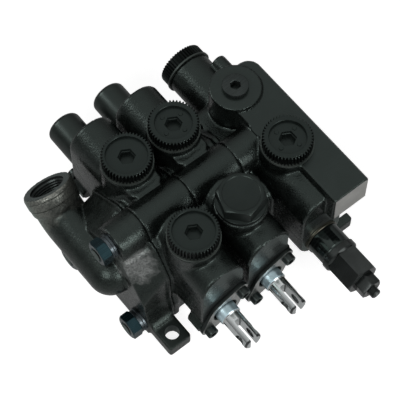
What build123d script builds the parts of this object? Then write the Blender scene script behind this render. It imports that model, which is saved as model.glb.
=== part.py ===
from build123d import *
import math
import os

# Two-spool sectional hydraulic control valve, in millimetres, +Z up.
# X runs along the stack from the tank end to the pump end. The spool clevises point to -Y.
# The origin is the axis of the left foot's bolt hole, on the mounting plane.

# Stack of castings
section_pitch = 40.0
outlet_thickness = 22.0
inlet_thickness = 59.5
first_joint_x = 11.0
flange_thickness = 5.0
waist_depth = 2.0
section_count = 2

# Main heights and lengths
spool_height = 42.0
mid_y = 50.0
front_length = 67.0
rear_length = 80.0
underside_lift = 3.0

# Cutters run this far past the faces they cut
overrun = 1.0

# Joint outline
body_front = 38.5
body_front_waist = 36.0
body_rear = 52.0
shoulder_below_seat = 14.5
shoulder_half = 20.0
shoulder_drop = 21.0
ridge_radius = 14.5
outline_corner = 8.0
front_step_high = -10.0
front_step_low = -20.0

# Pillars round the spool ends
pillar_radius = 18.0
pillar_below_seat = 6.5
pillar_edge = 1.0
screw_circle_radius = 19.5
screw_angle = 45.0
ear_radius = 6.2
ear_depth = 14.0

# Ports
pad_half_width = 13.0
pad_reach = 24.0
pad_below_seat = 4.5
pad_corner = 6.0
port_offset = 36.0
tower_radius = 18.5
seat_height = 101.5
port_radius = 9.4
port_thread_depth = 18.0
port_drill_radius = 6.0

# Spools and their bores
spool_radius = 8.0
spool_clearance = 0.05
spool_neck_radius = 5.0
spool_travel = 7.0
groove_radius = 11.0
groove_width = 7.0
groove_positions = (-36.0, -18.0, 0.0, 18.0, 36.0)
neck_positions = (-27.0, -9.0, 9.0, 27.0)
neck_width = 8.0

# Clevis on the front of each spool
clevis_shoulder = 10.0
clevis_radius = 6.9
clevis_reach = 33.5
clevis_slot_width = 5.0
clevis_slot_depth = 18.0
clevis_pin_radius = 4.0
clevis_pin_from_tip = 7.0
clevis_edge = 1.0

# Seals, retainer plates and small screws
seal_radius = 11.5
seal_depth = 6.0
seal_clearance = 0.1
plate_thickness = 3.0
plate_radius = 14.0
plate_ear_radius = 6.0
plate_hole_radius = 9.5
screw_radius = 2.5
screw_head_radius = 4.25
screw_head_height = 5.0
screw_head_edge = 0.5
screw_length = 12.0
screw_socket = 4.0
screw_socket_depth = 2.5
small_clearance = 0.15

# Spring cans and the centring pack inside them
can_radius = 13.2
can_wall = 2.0
can_end_wall = 3.0
can_length = 37.0
can_rounding = 4.0
disc_thickness = 3.0
disc_radius = 10.6
tail_radius = 6.0
washer_plate_thickness = 1.0
spring_radius = 9.6
spring_wire = 1.3
spring_turns = 4.5
end_bolt_radius = 4.0
end_bolt_length = 14.0
end_bolt_across_flats = 13.0
end_bolt_head_height = 5.3

# Knurled port caps
cap_radius = 17.6
cap_height = 9.0
cap_ring_radius = 18.4
cap_ring_thickness = 1.2
cap_teeth = 52
cap_tooth_depth = 0.9
cap_recess_wide = 14.4
cap_recess_narrow = 12.9
cap_recess_depth = 2.4
cap_socket = 10.5
cap_socket_depth = 6.0
cap_stem_length = 9.0
cap_dot_radius = 1.5
cap_dot_circle = 9.0
cap_dot_height = 0.5
cap_dot_turn = 20.0
cap_dot_count = 4
cap_socket_turn = 30.0

# Hexagon plug in the unused port
plug_across_flats = 30.0
plug_head_height = 11.0
plug_collar_radius = 17.6
plug_collar_height = 2.0
plug_turn = 12.0
plug_washer_thickness = 1.5
plug_washer_radius = 16.0
plug_stem_length = 14.0

# Tie rods
rod_radius = 5.0
rod_clearance = 0.4
ridge_below_seat = 1.0
low_rod_height = 12.0
low_rod_front = 28.0
low_rod_rear = 40.0
rod_grip = 22.0
rod_end = 4.5
rod_edge = 0.8
washer_radius = 10.0
washer_thickness = 2.0
lock_washer_radius = 8.6
lock_washer_thickness = 2.2
lock_washer_gap = 1.0
lock_washer_turn = 12.0
nut_across_flats = 17.0
nut_height = 8.0
nut_turn = 30.0

# Left foot and right foot
foot_height = 11.0
foot_half_width = 9.5
foot_front = 10.0
foot_hole_radius = 5.25
foot_corner = 2.0
slot_foot_right = 157.0
slot_foot_left = 119.0
slot_foot_rear = 14.0
slot_foot_front = 12.0
slot_root_x = 143.0

# Outlet casting, which narrows from its thin joint flange to its end face
outlet_flange = 2.0
outlet_end_drop = 12.0
outlet_end_ridge_half = 12.0
outlet_end_front_rise = 0.0
outlet_end_front = 33.0
outlet_end_rear_rise = 8.0
foot_cove = 8.0

# Tank elbow on the outlet casting: level to the rear, then rising to its threaded mouth
elbow_x = -13.0
elbow_height = 45.0
elbow_turn_y = 51.0
elbow_corner_y = 105.0
elbow_leg = 25.3
elbow_angle = 45.0
elbow_bend_radius = 22.0
elbow_pipe_radius = 17.0
nipple_radius = 19.0
nipple_band = 9.5
nipple_shoulder_radius = 18.4
nipple_length = 16.0
mouth_thread_radius = 13.2
mouth_thread_depth = 13.0
elbow_bore_radius = 10.5
mouth_rim_step = 1.2

# Oil galleries along the stack
gallery_radius = 6.0
pressure_gallery = (12.0, 24.0)
tank_gallery = (27.0, -16.0)
ring_outer_radius = 8.6
ring_inner_radius = 7.0
ring_depth = 1.6
ring_squeeze = 0.1
drill_radius = 4.5

# Load check valves in the joint faces
check_offset = -12.0
check_rise = 24.0
check_pocket_radius = 7.0
check_pocket_depth = 15.0
check_length = 11.0
check_cup_radius = 4.6
check_cup_depth = 8.0
check_nose_radius = 3.6
check_nose_length = 3.0
check_spring_radius = 3.5
check_spring_wire = 0.9
check_spring_turns = 6.0
running_clearance = 0.05

# Inlet casting
slab_width = 30.5
slab_step = 7.0
slab_step_start = 44.0
slab_front_y = -25.0
slab_rear_y = 100.0
slab_thickness = 27.5
slab_corner = 10.0
slab_bevel = 2.5
inlet_port_x = 124.0
inlet_port_y = 29.0
boss_y = 84.5
boss_above_seat = 2.5
boss_plug_radius = 9.4
boss_plug_height = 3.5
boss_plug_stem_radius = 6.8
boss_plug_stem_length = 12.0
boss_plug_socket = 6.5
boss_plug_socket_depth = 5.0
boss_plug_edge = 0.6
boss_drill_extra = 2.0
core_below_seat = 23.5
rear_port_height = 58.0
rear_port_radius = 17.0
rear_port_seat_y = 136.0
rear_stub_x = 141.0
rear_stub_height = 70.0
rear_stub_radius = 6.0
rear_stub_end = 125.0
rear_stub_start = 96.0

# Main relief valve
relief_x = 119.0
relief_face_y = -17.0
relief_washer_radius = 13.5
relief_washer_thickness = 2.0
relief_body_radius = 12.7
relief_body_length = 16.0
relief_thread_radius = 9.5
relief_thread_length = 30.0
relief_bore_radius = 6.5
relief_seat_hole = 2.6
relief_seat_thickness = 6.0
relief_counterbore_radius = 9.0
relief_counterbore_depth = 8.0
sleeve_ring_radius = 13.6
sleeve_ring_length = 6.0
sleeve_across_flats = 24.0
sleeve_hex_length = 21.0
sleeve_chamfer = 1.4
adjuster_radius = 4.0
adjuster_tip = 5.0
locknut_across_flats = 15.0
locknut_height = 9.5
relief_poppet_length = 13.0
relief_spring_radius = 4.7
relief_spring_wire = 1.2
relief_spring_turns = 5.0
spring_seat_length = 4.0
adjuster_socket = 4.0
adjuster_socket_depth = 4.0
adjuster_edge = 0.6
spring_pin_length = 3.0
poppet_cone_length = 5.0
poppet_nose_length = 2.0
sleeve_turn = 20.0
locknut_turn = 5.0
relief_drill_extra = 14.5

# Places worked out from the sizes above
shoulder_rise = seat_height - shoulder_below_seat - spool_height
pillar_rise = seat_height - pillar_below_seat - pillar_radius - spool_height
pad_top = seat_height - pad_below_seat
top_rod_rise = seat_height - ridge_below_seat - ridge_radius - spool_height
slab_top = seat_height
slab_bottom = slab_top - slab_thickness
boss_top = seat_height + boss_above_seat
inlet_core_top = seat_height - core_below_seat
elbow_direction = (0, math.cos(math.radians(elbow_angle)), math.sin(math.radians(elbow_angle)))
mouth_y = elbow_corner_y + elbow_leg * elbow_direction[1]
mouth_z = elbow_height + elbow_leg * elbow_direction[2]
front_y = mid_y - front_length
rear_y = mid_y + rear_length
outlet_face_x = first_joint_x - outlet_thickness
joint_xs = [first_joint_x + section_pitch * i for i in range(section_count + 1)]
section_xs = [x + section_pitch / 2 for x in joint_xs[:-1]]
inlet_x = joint_xs[-1]
inlet_end_x = inlet_x + inlet_thickness
rods = (
    (mid_y, spool_height + top_rod_rise),
    (mid_y - low_rod_front, low_rod_height),
    (mid_y + low_rod_rear, low_rod_height),
)
screw_dx = screw_circle_radius * math.cos(math.radians(screw_angle))
screw_dz = screw_circle_radius * math.sin(math.radians(screw_angle))
can_end_y = rear_y + can_length
can_space = can_length - can_end_wall
disc_y = rear_y + (can_space + washer_plate_thickness - disc_thickness) / 2
relief_base_y = relief_face_y - relief_washer_thickness
relief_ring_y = relief_base_y - relief_body_length
relief_end_y = relief_face_y + relief_thread_length
relief_seat_y = relief_end_y - relief_seat_thickness
poppet_start_y = relief_seat_y - relief_poppet_length
sleeve_hex_y = relief_ring_y - sleeve_ring_length
sleeve_end_y = sleeve_hex_y - sleeve_hex_length
sleeve_spigot_y = relief_ring_y + relief_counterbore_depth
spring_seat_y = sleeve_spigot_y
locknut_end_y = sleeve_end_y - locknut_height
adjuster_end_y = locknut_end_y - adjuster_tip


def prism(axis, first, second, start, end, outline):
    """Extrude an outline along an axis from start to end, centred on the other two coordinates."""
    if axis == "x":
        plane = Plane(origin=(start, first, second), x_dir=(0, 1, 0), z_dir=(1, 0, 0))
        direction = (1, 0, 0)
    elif axis == "y":
        plane = Plane(origin=(first, start, second), x_dir=(1, 0, 0), z_dir=(0, -1, 0))
        direction = (0, 1, 0)
    else:
        plane = Plane(origin=(first, second, start), x_dir=(1, 0, 0), z_dir=(0, 0, 1))
        direction = (0, 0, 1)
    return extrude(plane * outline, amount=end - start, dir=direction)


def rod(axis, first, second, start, end, radius):
    """Round bar along an axis."""
    return prism(axis, first, second, start, end, Circle(radius))


def ring(axis, first, second, start, end, outer, inner):
    """Flat ring along an axis."""
    return prism(axis, first, second, start, end, Circle(outer) - Circle(inner))


def hexagon(across_flats, turn=0.0):
    """Hexagon outline with its flats up and down before the turn."""
    return Rot(0, 0, turn) * RegularPolygon(across_flats / 2, 6, major_radius=False)


def hexagon_bar(across_flats, height, turn=0.0, both_ends=False):
    """Hexagon bar along local Z from 0, its corners turned off at the top or at both ends."""
    corner = across_flats / math.sqrt(3)
    flat = across_flats / 2
    drop = (corner - flat) * math.tan(math.radians(30))
    low = [(0, 0), (flat, 0), (corner, drop)] if both_ends else [(0, 0), (corner, 0)]
    cone = turned(low + [(corner, height - drop), (flat, height), (0, height)])
    return extrude(hexagon(across_flats, turn), amount=height) & cone


def box(x0, x1, y0, y1, z0, z1):
    """Block between two corners."""
    return Pos((x0 + x1) / 2, (y0 + y1) / 2, (z0 + z1) / 2) * Box(x1 - x0, y1 - y0, z1 - z0)


def turned(points):
    """Solid of revolution about the local Z axis from (radius, height) points."""
    return revolve(make_face(Plane.XZ * Polyline(*points, close=True)), axis=Axis.Z)


def frame_towards(x, y, z, direction, x_dir=None):
    """Local frame at a point with its Z axis along a direction."""
    return Plane(origin=(x, y, z), x_dir=x_dir, z_dir=direction).location


def coil(radius, wire, length, turns):
    """Spring of square wire along the local Z axis, from 0 to length."""
    rise = length - wire
    path = Helix(pitch=rise / turns, height=rise, radius=radius)
    start = Plane(origin=path @ 0, x_dir=(1, 0, 0), z_dir=path % 0)
    wire_face = start * Rectangle(wire, wire)
    return Pos(0, 0, wire / 2) * sweep(wire_face, path=path, is_frenet=True)


def on_relief_axis(start, end, radius):
    """Round bar on the relief valve's axis."""
    return rod("y", relief_x, spool_height, start, end, radius)


def screw_points(x):
    """Centres of the two diagonal screws round a spool."""
    return [(x + s * screw_dx, spool_height + s * screw_dz) for s in (-1, 1)]


def joint_outline(shrink=0.0):
    """Outline of a joint face in the YZ plane about (mid_y, spool_height)."""
    low = underside_lift - spool_height
    body = make_face(
        Polyline(
            (-shoulder_half, shoulder_rise),
            (-body_front_waist, shoulder_drop),
            (-body_front_waist, front_step_high),
            (-body_front, front_step_low),
            (-body_front, low),
            (body_rear, low),
            (body_rear, shoulder_drop),
            (shoulder_half, shoulder_rise),
            close=True,
        )
    )
    upper = body.vertices().filter_by(lambda v: v.Y > low + overrun)
    body = fillet(upper, outline_corner)
    outline = body + Pos(0, top_rod_rise) * Circle(ridge_radius)
    if shrink > 0:
        outline = offset(outline, amount=-shrink)
    return outline


def pillar_outline():
    """Upright slot shape round a spool bore, about the spool axis."""
    slot = Circle(pillar_radius) + Pos(0, pillar_rise) * Circle(pillar_radius)
    return slot + Pos(0, pillar_rise / 2) * Rectangle(2 * pillar_radius, pillar_rise)


def plate_outline():
    """Diamond plate that covers a seal and takes the two diagonal screws."""
    circles = [Circle(plate_radius)]
    for s in (-1, 1):
        circles.append(Pos(s * screw_dx, s * screw_dz) * Circle(plate_ear_radius))
    edges = [edge for circle in circles for edge in circle.edges()]
    return make_hull(edges)


def spool_cavity(x):
    """Everything cut for one spool: bore, grooves and seal pockets."""
    cut = rod("y", x, spool_height, front_y, rear_y, spool_radius + spool_clearance)
    for position in groove_positions:
        start = mid_y + position - groove_width / 2
        cut += rod("y", x, spool_height, start, start + groove_width, groove_radius)
    cut += rod("y", x, spool_height, front_y, front_y + seal_depth, seal_radius)
    cut += rod("y", x, spool_height, rear_y - seal_depth, rear_y, seal_radius)
    for sx, sz in screw_points(x):
        hole = screw_radius + small_clearance
        cut += rod("y", sx, sz, front_y, front_y + screw_length, hole)
        cut += rod("y", sx, sz, rear_y - screw_length, rear_y, hole)
    return cut


def rod_holes(start, end, radius):
    """Holes for the three tie rods."""
    cut = Part()
    for y, z in rods:
        cut += rod("x", y, z, start, end, radius)
    return cut


def galleries(start, end):
    """Pressure and tank galleries through a casting."""
    cut = Part()
    for dy, dz in (pressure_gallery, tank_gallery):
        cut += rod("x", mid_y + dy, spool_height + dz, start, end, gallery_radius)
    return cut


def work_section(x0):
    """One work section casting with its spool bore, two ports and load check pocket."""
    x1 = x0 + section_pitch
    x = (x0 + x1) / 2
    rim = joint_outline()
    waist = joint_outline(waist_depth)
    body = prism("x", mid_y, spool_height, x0, x0 + flange_thickness, rim)
    body += prism("x", mid_y, spool_height, x0 + flange_thickness, x1 - flange_thickness, waist)
    body += prism("x", mid_y, spool_height, x1 - flange_thickness, x1, rim)
    pillar = prism("y", x, spool_height, front_y, rear_y, pillar_outline())
    ends = pillar.faces().filter_by(Axis.Y).edges()
    body += chamfer(ends, pillar_edge)
    for y in (mid_y - port_offset, mid_y + port_offset):
        body += rod("z", x, y, spool_height, seat_height, tower_radius)
    pad = RectangleRounded(2 * pad_half_width, pad_reach, pad_corner)
    pad_y = mid_y + port_offset - pad_reach / 2
    body += prism("z", x, pad_y, spool_height, pad_top, pad)
    for sx, sz in screw_points(x):
        body += rod("y", sx, sz, front_y, front_y + ear_depth, ear_radius)
        body += rod("y", sx, sz, rear_y - ear_depth, rear_y, ear_radius)
    body += rod("x", mid_y, spool_height + top_rod_rise, x0, x1, ridge_radius)
    body -= spool_cavity(x)
    for y in (mid_y - port_offset, mid_y + port_offset):
        body -= rod("z", x, y, seat_height - port_thread_depth, seat_height, port_radius)
        body -= rod("z", x, y, spool_height, seat_height, port_drill_radius)
    body -= rod_holes(x0, x1, rod_radius + rod_clearance)
    body -= galleries(x0, x1)
    for dy, dz in (pressure_gallery, tank_gallery):
        low, high = sorted((spool_height, spool_height + dz))
        body -= rod("z", x, mid_y + dy, low, high, drill_radius)
        body -= rod("x", mid_y + dy, spool_height + dz, x1 - ring_depth, x1, ring_outer_radius)
    pocket_x = x1 - check_pocket_depth
    check_y = mid_y + check_offset
    check_z = spool_height + check_rise
    body -= rod("x", check_y, check_z, pocket_x, x1, check_pocket_radius)
    body -= rod("x", check_y, check_z, x, x1, check_nose_radius + running_clearance)
    return body


def outlet_outline(front_corner, ridge_corner, rear_rise):
    """Cross section of the outlet casting about (mid_y, spool_height), standing on the mounting plane."""
    front = body_front - waist_depth
    rear = body_rear - waist_depth
    outline = make_face(
        Polyline(
            (-front, -spool_height),
            (-front, front_step_low),
            (waist_depth - body_front_waist, front_step_high),
            front_corner,
            (-ridge_corner[0], ridge_corner[1]),
            ridge_corner,
            (rear, rear_rise),
            (rear, -spool_height),
            close=True,
        )
    )
    upper = outline.vertices().filter_by(lambda v: v.Y > overrun - spool_height)
    return fillet(upper, outline_corner)


def elbow_bar(radius):
    """Round bar along the elbow's centre line, its front end rounded."""
    plane = Plane(origin=(elbow_x, 0, 0), x_dir=(0, 1, 0), z_dir=(1, 0, 0))
    places = ((elbow_turn_y, elbow_height), (elbow_corner_y, elbow_height), (mouth_y, mouth_z))
    path = plane * FilletPolyline(*places, radius=elbow_bend_radius)
    start = Plane(origin=path @ 0, z_dir=path % 0)
    return sweep(start * Circle(radius), path=path) + Pos(path @ 0) * Sphere(radius)


def outlet_section():
    """Tank-end casting: thin joint flange, bolted foot and the elbow that turns to the rear and up."""
    x0 = outlet_face_x
    x1 = first_joint_x
    body = prism("x", mid_y, spool_height, x1 - outlet_flange, x1, joint_outline())
    rise = shoulder_rise - waist_depth
    wide = outlet_outline(
        (waist_depth - body_front_waist, shoulder_drop), (shoulder_half, rise), shoulder_drop
    )
    narrow = outlet_outline(
        (-outlet_end_front, outlet_end_front_rise), (outlet_end_ridge_half, rise - outlet_end_drop),
        outlet_end_rear_rise,
    )
    places = ((x1 - outlet_flange, wide), (x0, narrow))
    body += loft([
        Plane(origin=(x, mid_y, spool_height), x_dir=(0, 1, 0), z_dir=(1, 0, 0)) * outline
        for x, outline in places
    ], ruled=True)
    body += rod("x", mid_y, spool_height + top_rod_rise, x0, x1, ridge_radius)
    foot_length = body_front + foot_front
    foot = RectangleRounded(2 * foot_half_width, foot_length, foot_corner)
    body += prism("z", 0, foot_length / 2 - foot_front, 0, foot_height, foot)
    wall_y = mid_y - body_front + waist_depth
    cove = Rectangle(foot_cove, foot_cove, align=(Align.MIN, Align.MAX)) - Circle(foot_cove)
    cove_height = foot_height + foot_cove
    body += prism("x", wall_y - foot_cove, cove_height, -foot_half_width, x1 - outlet_flange, cove)
    body += elbow_bar(elbow_pipe_radius)
    body += rod("x", elbow_turn_y, elbow_height, elbow_x, x1 - outlet_flange, elbow_pipe_radius)
    mouth = frame_towards(elbow_x, mouth_y, mouth_z, elbow_direction)
    body += mouth * turned([
        (0, -nipple_length), (elbow_pipe_radius, -nipple_length),
        (nipple_shoulder_radius, mouth_rim_step - nipple_length), (nipple_shoulder_radius, -nipple_band),
        (nipple_radius, -nipple_band), (nipple_radius, -mouth_rim_step),
        (nipple_radius - mouth_rim_step, 0), (0, 0),
    ])
    body -= elbow_bar(elbow_bore_radius)
    body -= mouth * extrude(Circle(mouth_thread_radius), amount=-mouth_thread_depth)
    passage_x = x1 - flange_thickness - gallery_radius
    body -= rod("x", elbow_turn_y, elbow_height, elbow_x, passage_x, elbow_bore_radius)
    tank_y = mid_y + tank_gallery[0]
    tank_z = spool_height + tank_gallery[1]
    body -= rod("x", tank_y, tank_z, x1 - 2 * gallery_radius, x1, gallery_radius)
    body -= rod("x", tank_y, tank_z, x1 - ring_depth, x1, ring_outer_radius)
    body -= rod("y", x1 - 2 * gallery_radius, tank_z, elbow_turn_y, tank_y, drill_radius)
    body -= rod("z", x1 - 2 * gallery_radius, elbow_turn_y, tank_z, elbow_height, drill_radius)
    pressure_y = mid_y + pressure_gallery[0]
    pressure_z = spool_height + pressure_gallery[1]
    body -= rod("x", pressure_y, pressure_z, x1 - ring_depth, x1, ring_outer_radius)
    body -= rod_holes(x0, x1, rod_radius + rod_clearance)
    body -= rod("z", 0, 0, 0, foot_height, foot_hole_radius)
    return body


def inlet_section():
    """Pump-end casting: slab, ports, relief valve boss and the slotted foot."""
    x0 = inlet_x
    x1 = inlet_end_x
    rim = joint_outline()
    body = prism("x", mid_y, spool_height, x0, x0 + flange_thickness, rim)
    core_x = x0 + flange_thickness
    low = underside_lift
    front = mid_y - body_front_waist
    rear = mid_y + body_rear - waist_depth
    core = box(core_x, x1 - waist_depth, front, rear, low, inlet_core_top)
    long_edges = core.edges().filter_by(Axis.X)
    body += fillet(long_edges, outline_corner)
    slab_outline = make_face(
        Polyline(
            (x1 - slab_width, slab_front_y),
            (x1, slab_front_y),
            (x1, slab_rear_y),
            (x1 - slab_width - slab_step, slab_rear_y),
            (x1 - slab_width - slab_step, slab_step_start),
            (x1 - slab_width, slab_step_start),
            close=True,
        )
    )
    rear_right = slab_outline.vertices().filter_by(lambda v: v.X > x1 - overrun and v.Y > 0)
    slab_outline = fillet(rear_right, slab_corner)
    slab = prism("z", 0, 0, slab_bottom, slab_top, slab_outline)
    top_edges = slab.faces().sort_by(Axis.Z)[-1].edges()
    body += chamfer(top_edges.filter_by(Axis.Y).sort_by(Axis.X)[-1], slab_bevel)
    body += rod("z", inlet_port_x, inlet_port_y, spool_height, seat_height, tower_radius)
    body += rod("z", inlet_port_x, boss_y, spool_height, boss_top, tower_radius)
    rear_tube = rod("y", inlet_port_x, rear_port_height, mid_y, rear_port_seat_y, rear_port_radius)
    body += rear_tube
    body += rod("y", rear_stub_x, rear_stub_height, rear_stub_start, rear_stub_end, rear_stub_radius)
    body += rod("x", mid_y, spool_height + top_rod_rise, x0, x1 - slab_width, ridge_radius)
    pillar = prism("y", relief_x, spool_height, relief_face_y, mid_y, pillar_outline())
    front_edges = pillar.faces().sort_by(Axis.Y)[0].edges()
    body += chamfer(front_edges, pillar_edge)
    body += slot_foot()
    body += box(core_x, x1 - waist_depth, front, rear, 0, low + outline_corner)
    body -= prism("z", 0, 0, 0, foot_height, slot_hole())
    thread_z = seat_height - port_thread_depth
    body -= rod("z", inlet_port_x, inlet_port_y, thread_z, seat_height, port_radius)
    pressure_y = mid_y + pressure_gallery[0]
    pressure_z = spool_height + pressure_gallery[1]
    body -= rod("z", inlet_port_x, inlet_port_y, pressure_z, seat_height, port_drill_radius)
    body -= rod("y", inlet_port_x, pressure_z, inlet_port_y, pressure_y, port_drill_radius)
    body -= rod("x", pressure_y, pressure_z, x0, inlet_port_x, gallery_radius)
    tank_y = mid_y + tank_gallery[0]
    tank_z = spool_height + tank_gallery[1]
    body -= rod("x", tank_y, tank_z, x0, inlet_port_x, gallery_radius)
    thread_y = rear_port_seat_y - port_thread_depth
    body -= rod("y", inlet_port_x, rear_port_height, thread_y, rear_port_seat_y, port_radius)
    body -= rod("y", inlet_port_x, rear_port_height, tank_y, thread_y, drill_radius)
    body -= rod("z", inlet_port_x, tank_y, tank_z, rear_port_height, drill_radius)
    boss_drill_z = boss_top - boss_plug_stem_length - boss_drill_extra
    body -= rod("z", inlet_port_x, boss_y, boss_drill_z, boss_top, boss_plug_stem_radius + small_clearance)
    body -= on_relief_axis(relief_face_y, relief_end_y + overrun, relief_thread_radius + small_clearance)
    body -= on_relief_axis(relief_face_y, relief_end_y + relief_drill_extra, drill_radius)
    cross_y = relief_end_y + relief_drill_extra - drill_radius
    body -= rod("z", relief_x, cross_y, spool_height, pressure_z, drill_radius)
    body -= rod_holes(x0, x0 + rod_grip, rod_radius + small_clearance)
    return body


def slot_foot():
    """Right front foot, open to the side so that the valve can be slid under its screw."""
    width = slot_foot_right - slot_foot_left
    depth = slot_foot_rear + slot_foot_front
    outline = RectangleRounded(width, depth, foot_corner)
    centre_x = (slot_foot_right + slot_foot_left) / 2
    centre_y = (slot_foot_rear - slot_foot_front) / 2
    return prism("z", centre_x, centre_y, 0, foot_height, outline)


def slot_hole():
    """Open slot in the right foot."""
    length = slot_foot_right + overrun - slot_root_x
    outline = Pos(slot_root_x, 0) * Circle(foot_hole_radius)
    return outline + Pos(slot_root_x + length / 2, 0) * Rectangle(length, 2 * foot_hole_radius)


def tie_rods():
    """Three studs screwed into the inlet casting."""
    solids = []
    for y, z in rods:
        start = outlet_face_x - washer_thickness - lock_washer_thickness - nut_height - rod_end
        stud = rod("x", y, z, start, inlet_x + rod_grip, rod_radius)
        solids.append(chamfer(stud.edges().filter_by(GeomType.CIRCLE), rod_edge))
    return Compound(solids)


def tie_rod_washers():
    """Flat washer under each tie rod nut."""
    end = outlet_face_x
    inner = rod_radius + small_clearance
    return Compound([ring("x", y, z, end - washer_thickness, end, washer_radius, inner) for y, z in rods])


def tie_rod_lock_washers():
    """Split spring washer between each nut and its flat washer."""
    end = outlet_face_x - washer_thickness
    start = end - lock_washer_thickness
    solids = []
    for y, z in rods:
        solid = ring("x", y, z, start, end, lock_washer_radius, rod_radius + small_clearance)
        cut = Pos(0, lock_washer_radius) * Rectangle(lock_washer_gap, lock_washer_radius)
        solids.append(solid - prism("x", y, z, start, end, Rot(0, 0, lock_washer_turn) * cut))
    return Compound(solids)


def tie_rod_nuts():
    """Hexagon nut on each tie rod."""
    end = outlet_face_x - washer_thickness - lock_washer_thickness
    start = end - nut_height
    solids = []
    shape = hexagon_bar(nut_across_flats, nut_height, nut_turn, both_ends=True)
    for y, z in rods:
        nut = frame_towards(start, y, z, (1, 0, 0)) * shape
        solids.append(nut - rod("x", y, z, start, end, rod_radius + small_clearance))
    return Compound(solids)


def spool(x):
    """Sliding spool with its grooves, the clevis in front and the threaded tail behind."""
    body_end = rear_y + spool_travel + overrun
    tip = front_y - clevis_reach
    shoulder = front_y - clevis_shoulder
    body = rod("y", x, spool_height, shoulder, body_end, spool_radius)
    body = chamfer(body.edges().filter_by(GeomType.CIRCLE).sort_by(Axis.Y)[0], spool_radius - clevis_radius)
    for position in neck_positions:
        start = mid_y + position - neck_width / 2
        end = start + neck_width
        body -= ring("y", x, spool_height, start, end, spool_radius + overrun, spool_neck_radius)
    ear = rod("y", x, spool_height, tip, shoulder, clevis_radius)
    body += chamfer(ear.faces().sort_by(Axis.Y)[0].edges(), clevis_edge)
    body += rod("y", x, spool_height, body_end, disc_y, tail_radius)
    half = clevis_slot_width / 2
    slot_end = tip + clevis_slot_depth
    body -= box(x - half, x + half, tip, slot_end, spool_height - spool_radius, spool_height + spool_radius)
    pin_y = tip + clevis_pin_from_tip
    body -= rod("x", pin_y, spool_height, x - spool_radius, x + spool_radius, clevis_pin_radius)
    hole_start = disc_y - end_bolt_length + disc_thickness
    body -= rod("y", x, spool_height, hole_start, disc_y, end_bolt_radius + small_clearance)
    return body


def wiper_seal(x):
    """Front lip seal round the spool."""
    inner = spool_radius + seal_clearance
    outer = seal_radius - seal_clearance
    return ring("y", x, spool_height, front_y, front_y + seal_depth - seal_clearance, outer, inner)


def rear_seal(x):
    """Rear seal round the spool, held by the spring washer and can."""
    inner = spool_radius + seal_clearance
    outer = seal_radius - seal_clearance
    return ring("y", x, spool_height, rear_y - seal_depth + seal_clearance, rear_y, outer, inner)


def retainer_plate(x):
    """Diamond plate that holds the wiper seal."""
    plate = prism("y", x, spool_height, front_y - plate_thickness, front_y, plate_outline())
    plate -= rod("y", x, spool_height, front_y - plate_thickness, front_y, plate_hole_radius)
    for sx, sz in screw_points(x):
        plate -= rod("y", sx, sz, front_y - plate_thickness, front_y, screw_radius + small_clearance)
    return plate


def socket_screw(length):
    """Socket-head screw along local Z, head above the seat at 0."""
    screw = turned([
        (0, -length), (screw_radius, -length), (screw_radius, 0), (screw_head_radius, 0),
        (screw_head_radius, screw_head_height - screw_head_edge),
        (screw_head_radius - screw_head_edge, screw_head_height),
        (0, screw_head_height),
    ])
    floor = screw_head_height - screw_socket_depth
    return screw - Pos(0, 0, floor) * extrude(hexagon(screw_socket), amount=screw_socket_depth)


def retainer_screws(x):
    """The two socket-head screws of a retainer plate."""
    seat = front_y - plate_thickness
    shape = socket_screw(screw_length)
    return Compound([frame_towards(sx, seat, sz, (0, -1, 0)) * shape for sx, sz in screw_points(x)])


def spring_can(x):
    """Deep-drawn can with its diamond flange over the centring springs."""
    can = rod("y", x, spool_height, rear_y, can_end_y, can_radius)
    can = fillet(can.faces().sort_by(Axis.Y)[-1].edges(), can_rounding)
    can += prism("y", x, spool_height, rear_y, rear_y + plate_thickness, plate_outline())
    can -= rod("y", x, spool_height, rear_y, can_end_y - can_end_wall, can_radius - can_wall)
    for sx, sz in screw_points(x):
        can -= rod("y", sx, sz, rear_y, rear_y + plate_thickness, screw_radius + small_clearance)
    return can


def spring_can_screws(x):
    """The two socket-head screws of a spring can."""
    seat = rear_y + plate_thickness
    shape = socket_screw(screw_length)
    return Compound([frame_towards(sx, seat, sz, (0, 1, 0)) * shape for sx, sz in screw_points(x)])


def spring_washer(x):
    """Thin washer on the rear seal that carries the front centring spring."""
    inner = spool_radius + seal_clearance
    end = rear_y + washer_plate_thickness
    return ring("y", x, spool_height, rear_y, end, can_radius - can_wall - small_clearance, inner)


def centring_disc(x):
    """Disc clamped on the spool's tail between the two centring springs."""
    end = disc_y + disc_thickness
    return ring("y", x, spool_height, disc_y, end, disc_radius, end_bolt_radius + small_clearance)


def end_bolt(x):
    """Hexagon bolt that clamps the centring disc to the spool."""
    seat = disc_y + disc_thickness
    bolt = rod("y", x, spool_height, seat - end_bolt_length, seat, end_bolt_radius)
    head = hexagon_bar(end_bolt_across_flats, end_bolt_head_height)
    return bolt + frame_towards(x, seat, spool_height, (0, 1, 0)) * head


def front_spring(x):
    """Centring spring between the washer and the disc."""
    start = rear_y + washer_plate_thickness
    shape = coil(spring_radius, spring_wire, disc_y - start, spring_turns)
    return frame_towards(x, start, spool_height, (0, 1, 0), (1, 0, 0)) * shape


def rear_spring(x):
    """Centring spring between the disc and the end of the can."""
    start = disc_y + disc_thickness
    shape = coil(spring_radius, spring_wire, can_end_y - can_end_wall - start, spring_turns)
    return frame_towards(x, start, spool_height, (0, 1, 0), (1, 0, 0)) * shape


def cap_profile():
    """Toothed outline of the knurled band."""
    points = []
    for i in range(cap_teeth):
        for turn, radius in ((0.0, cap_radius), (0.5, cap_radius - cap_tooth_depth)):
            angle = 2 * math.pi * (i + turn) / cap_teeth
            points.append((radius * math.cos(angle), radius * math.sin(angle)))
    return make_face(Polyline(*points, close=True))


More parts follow.
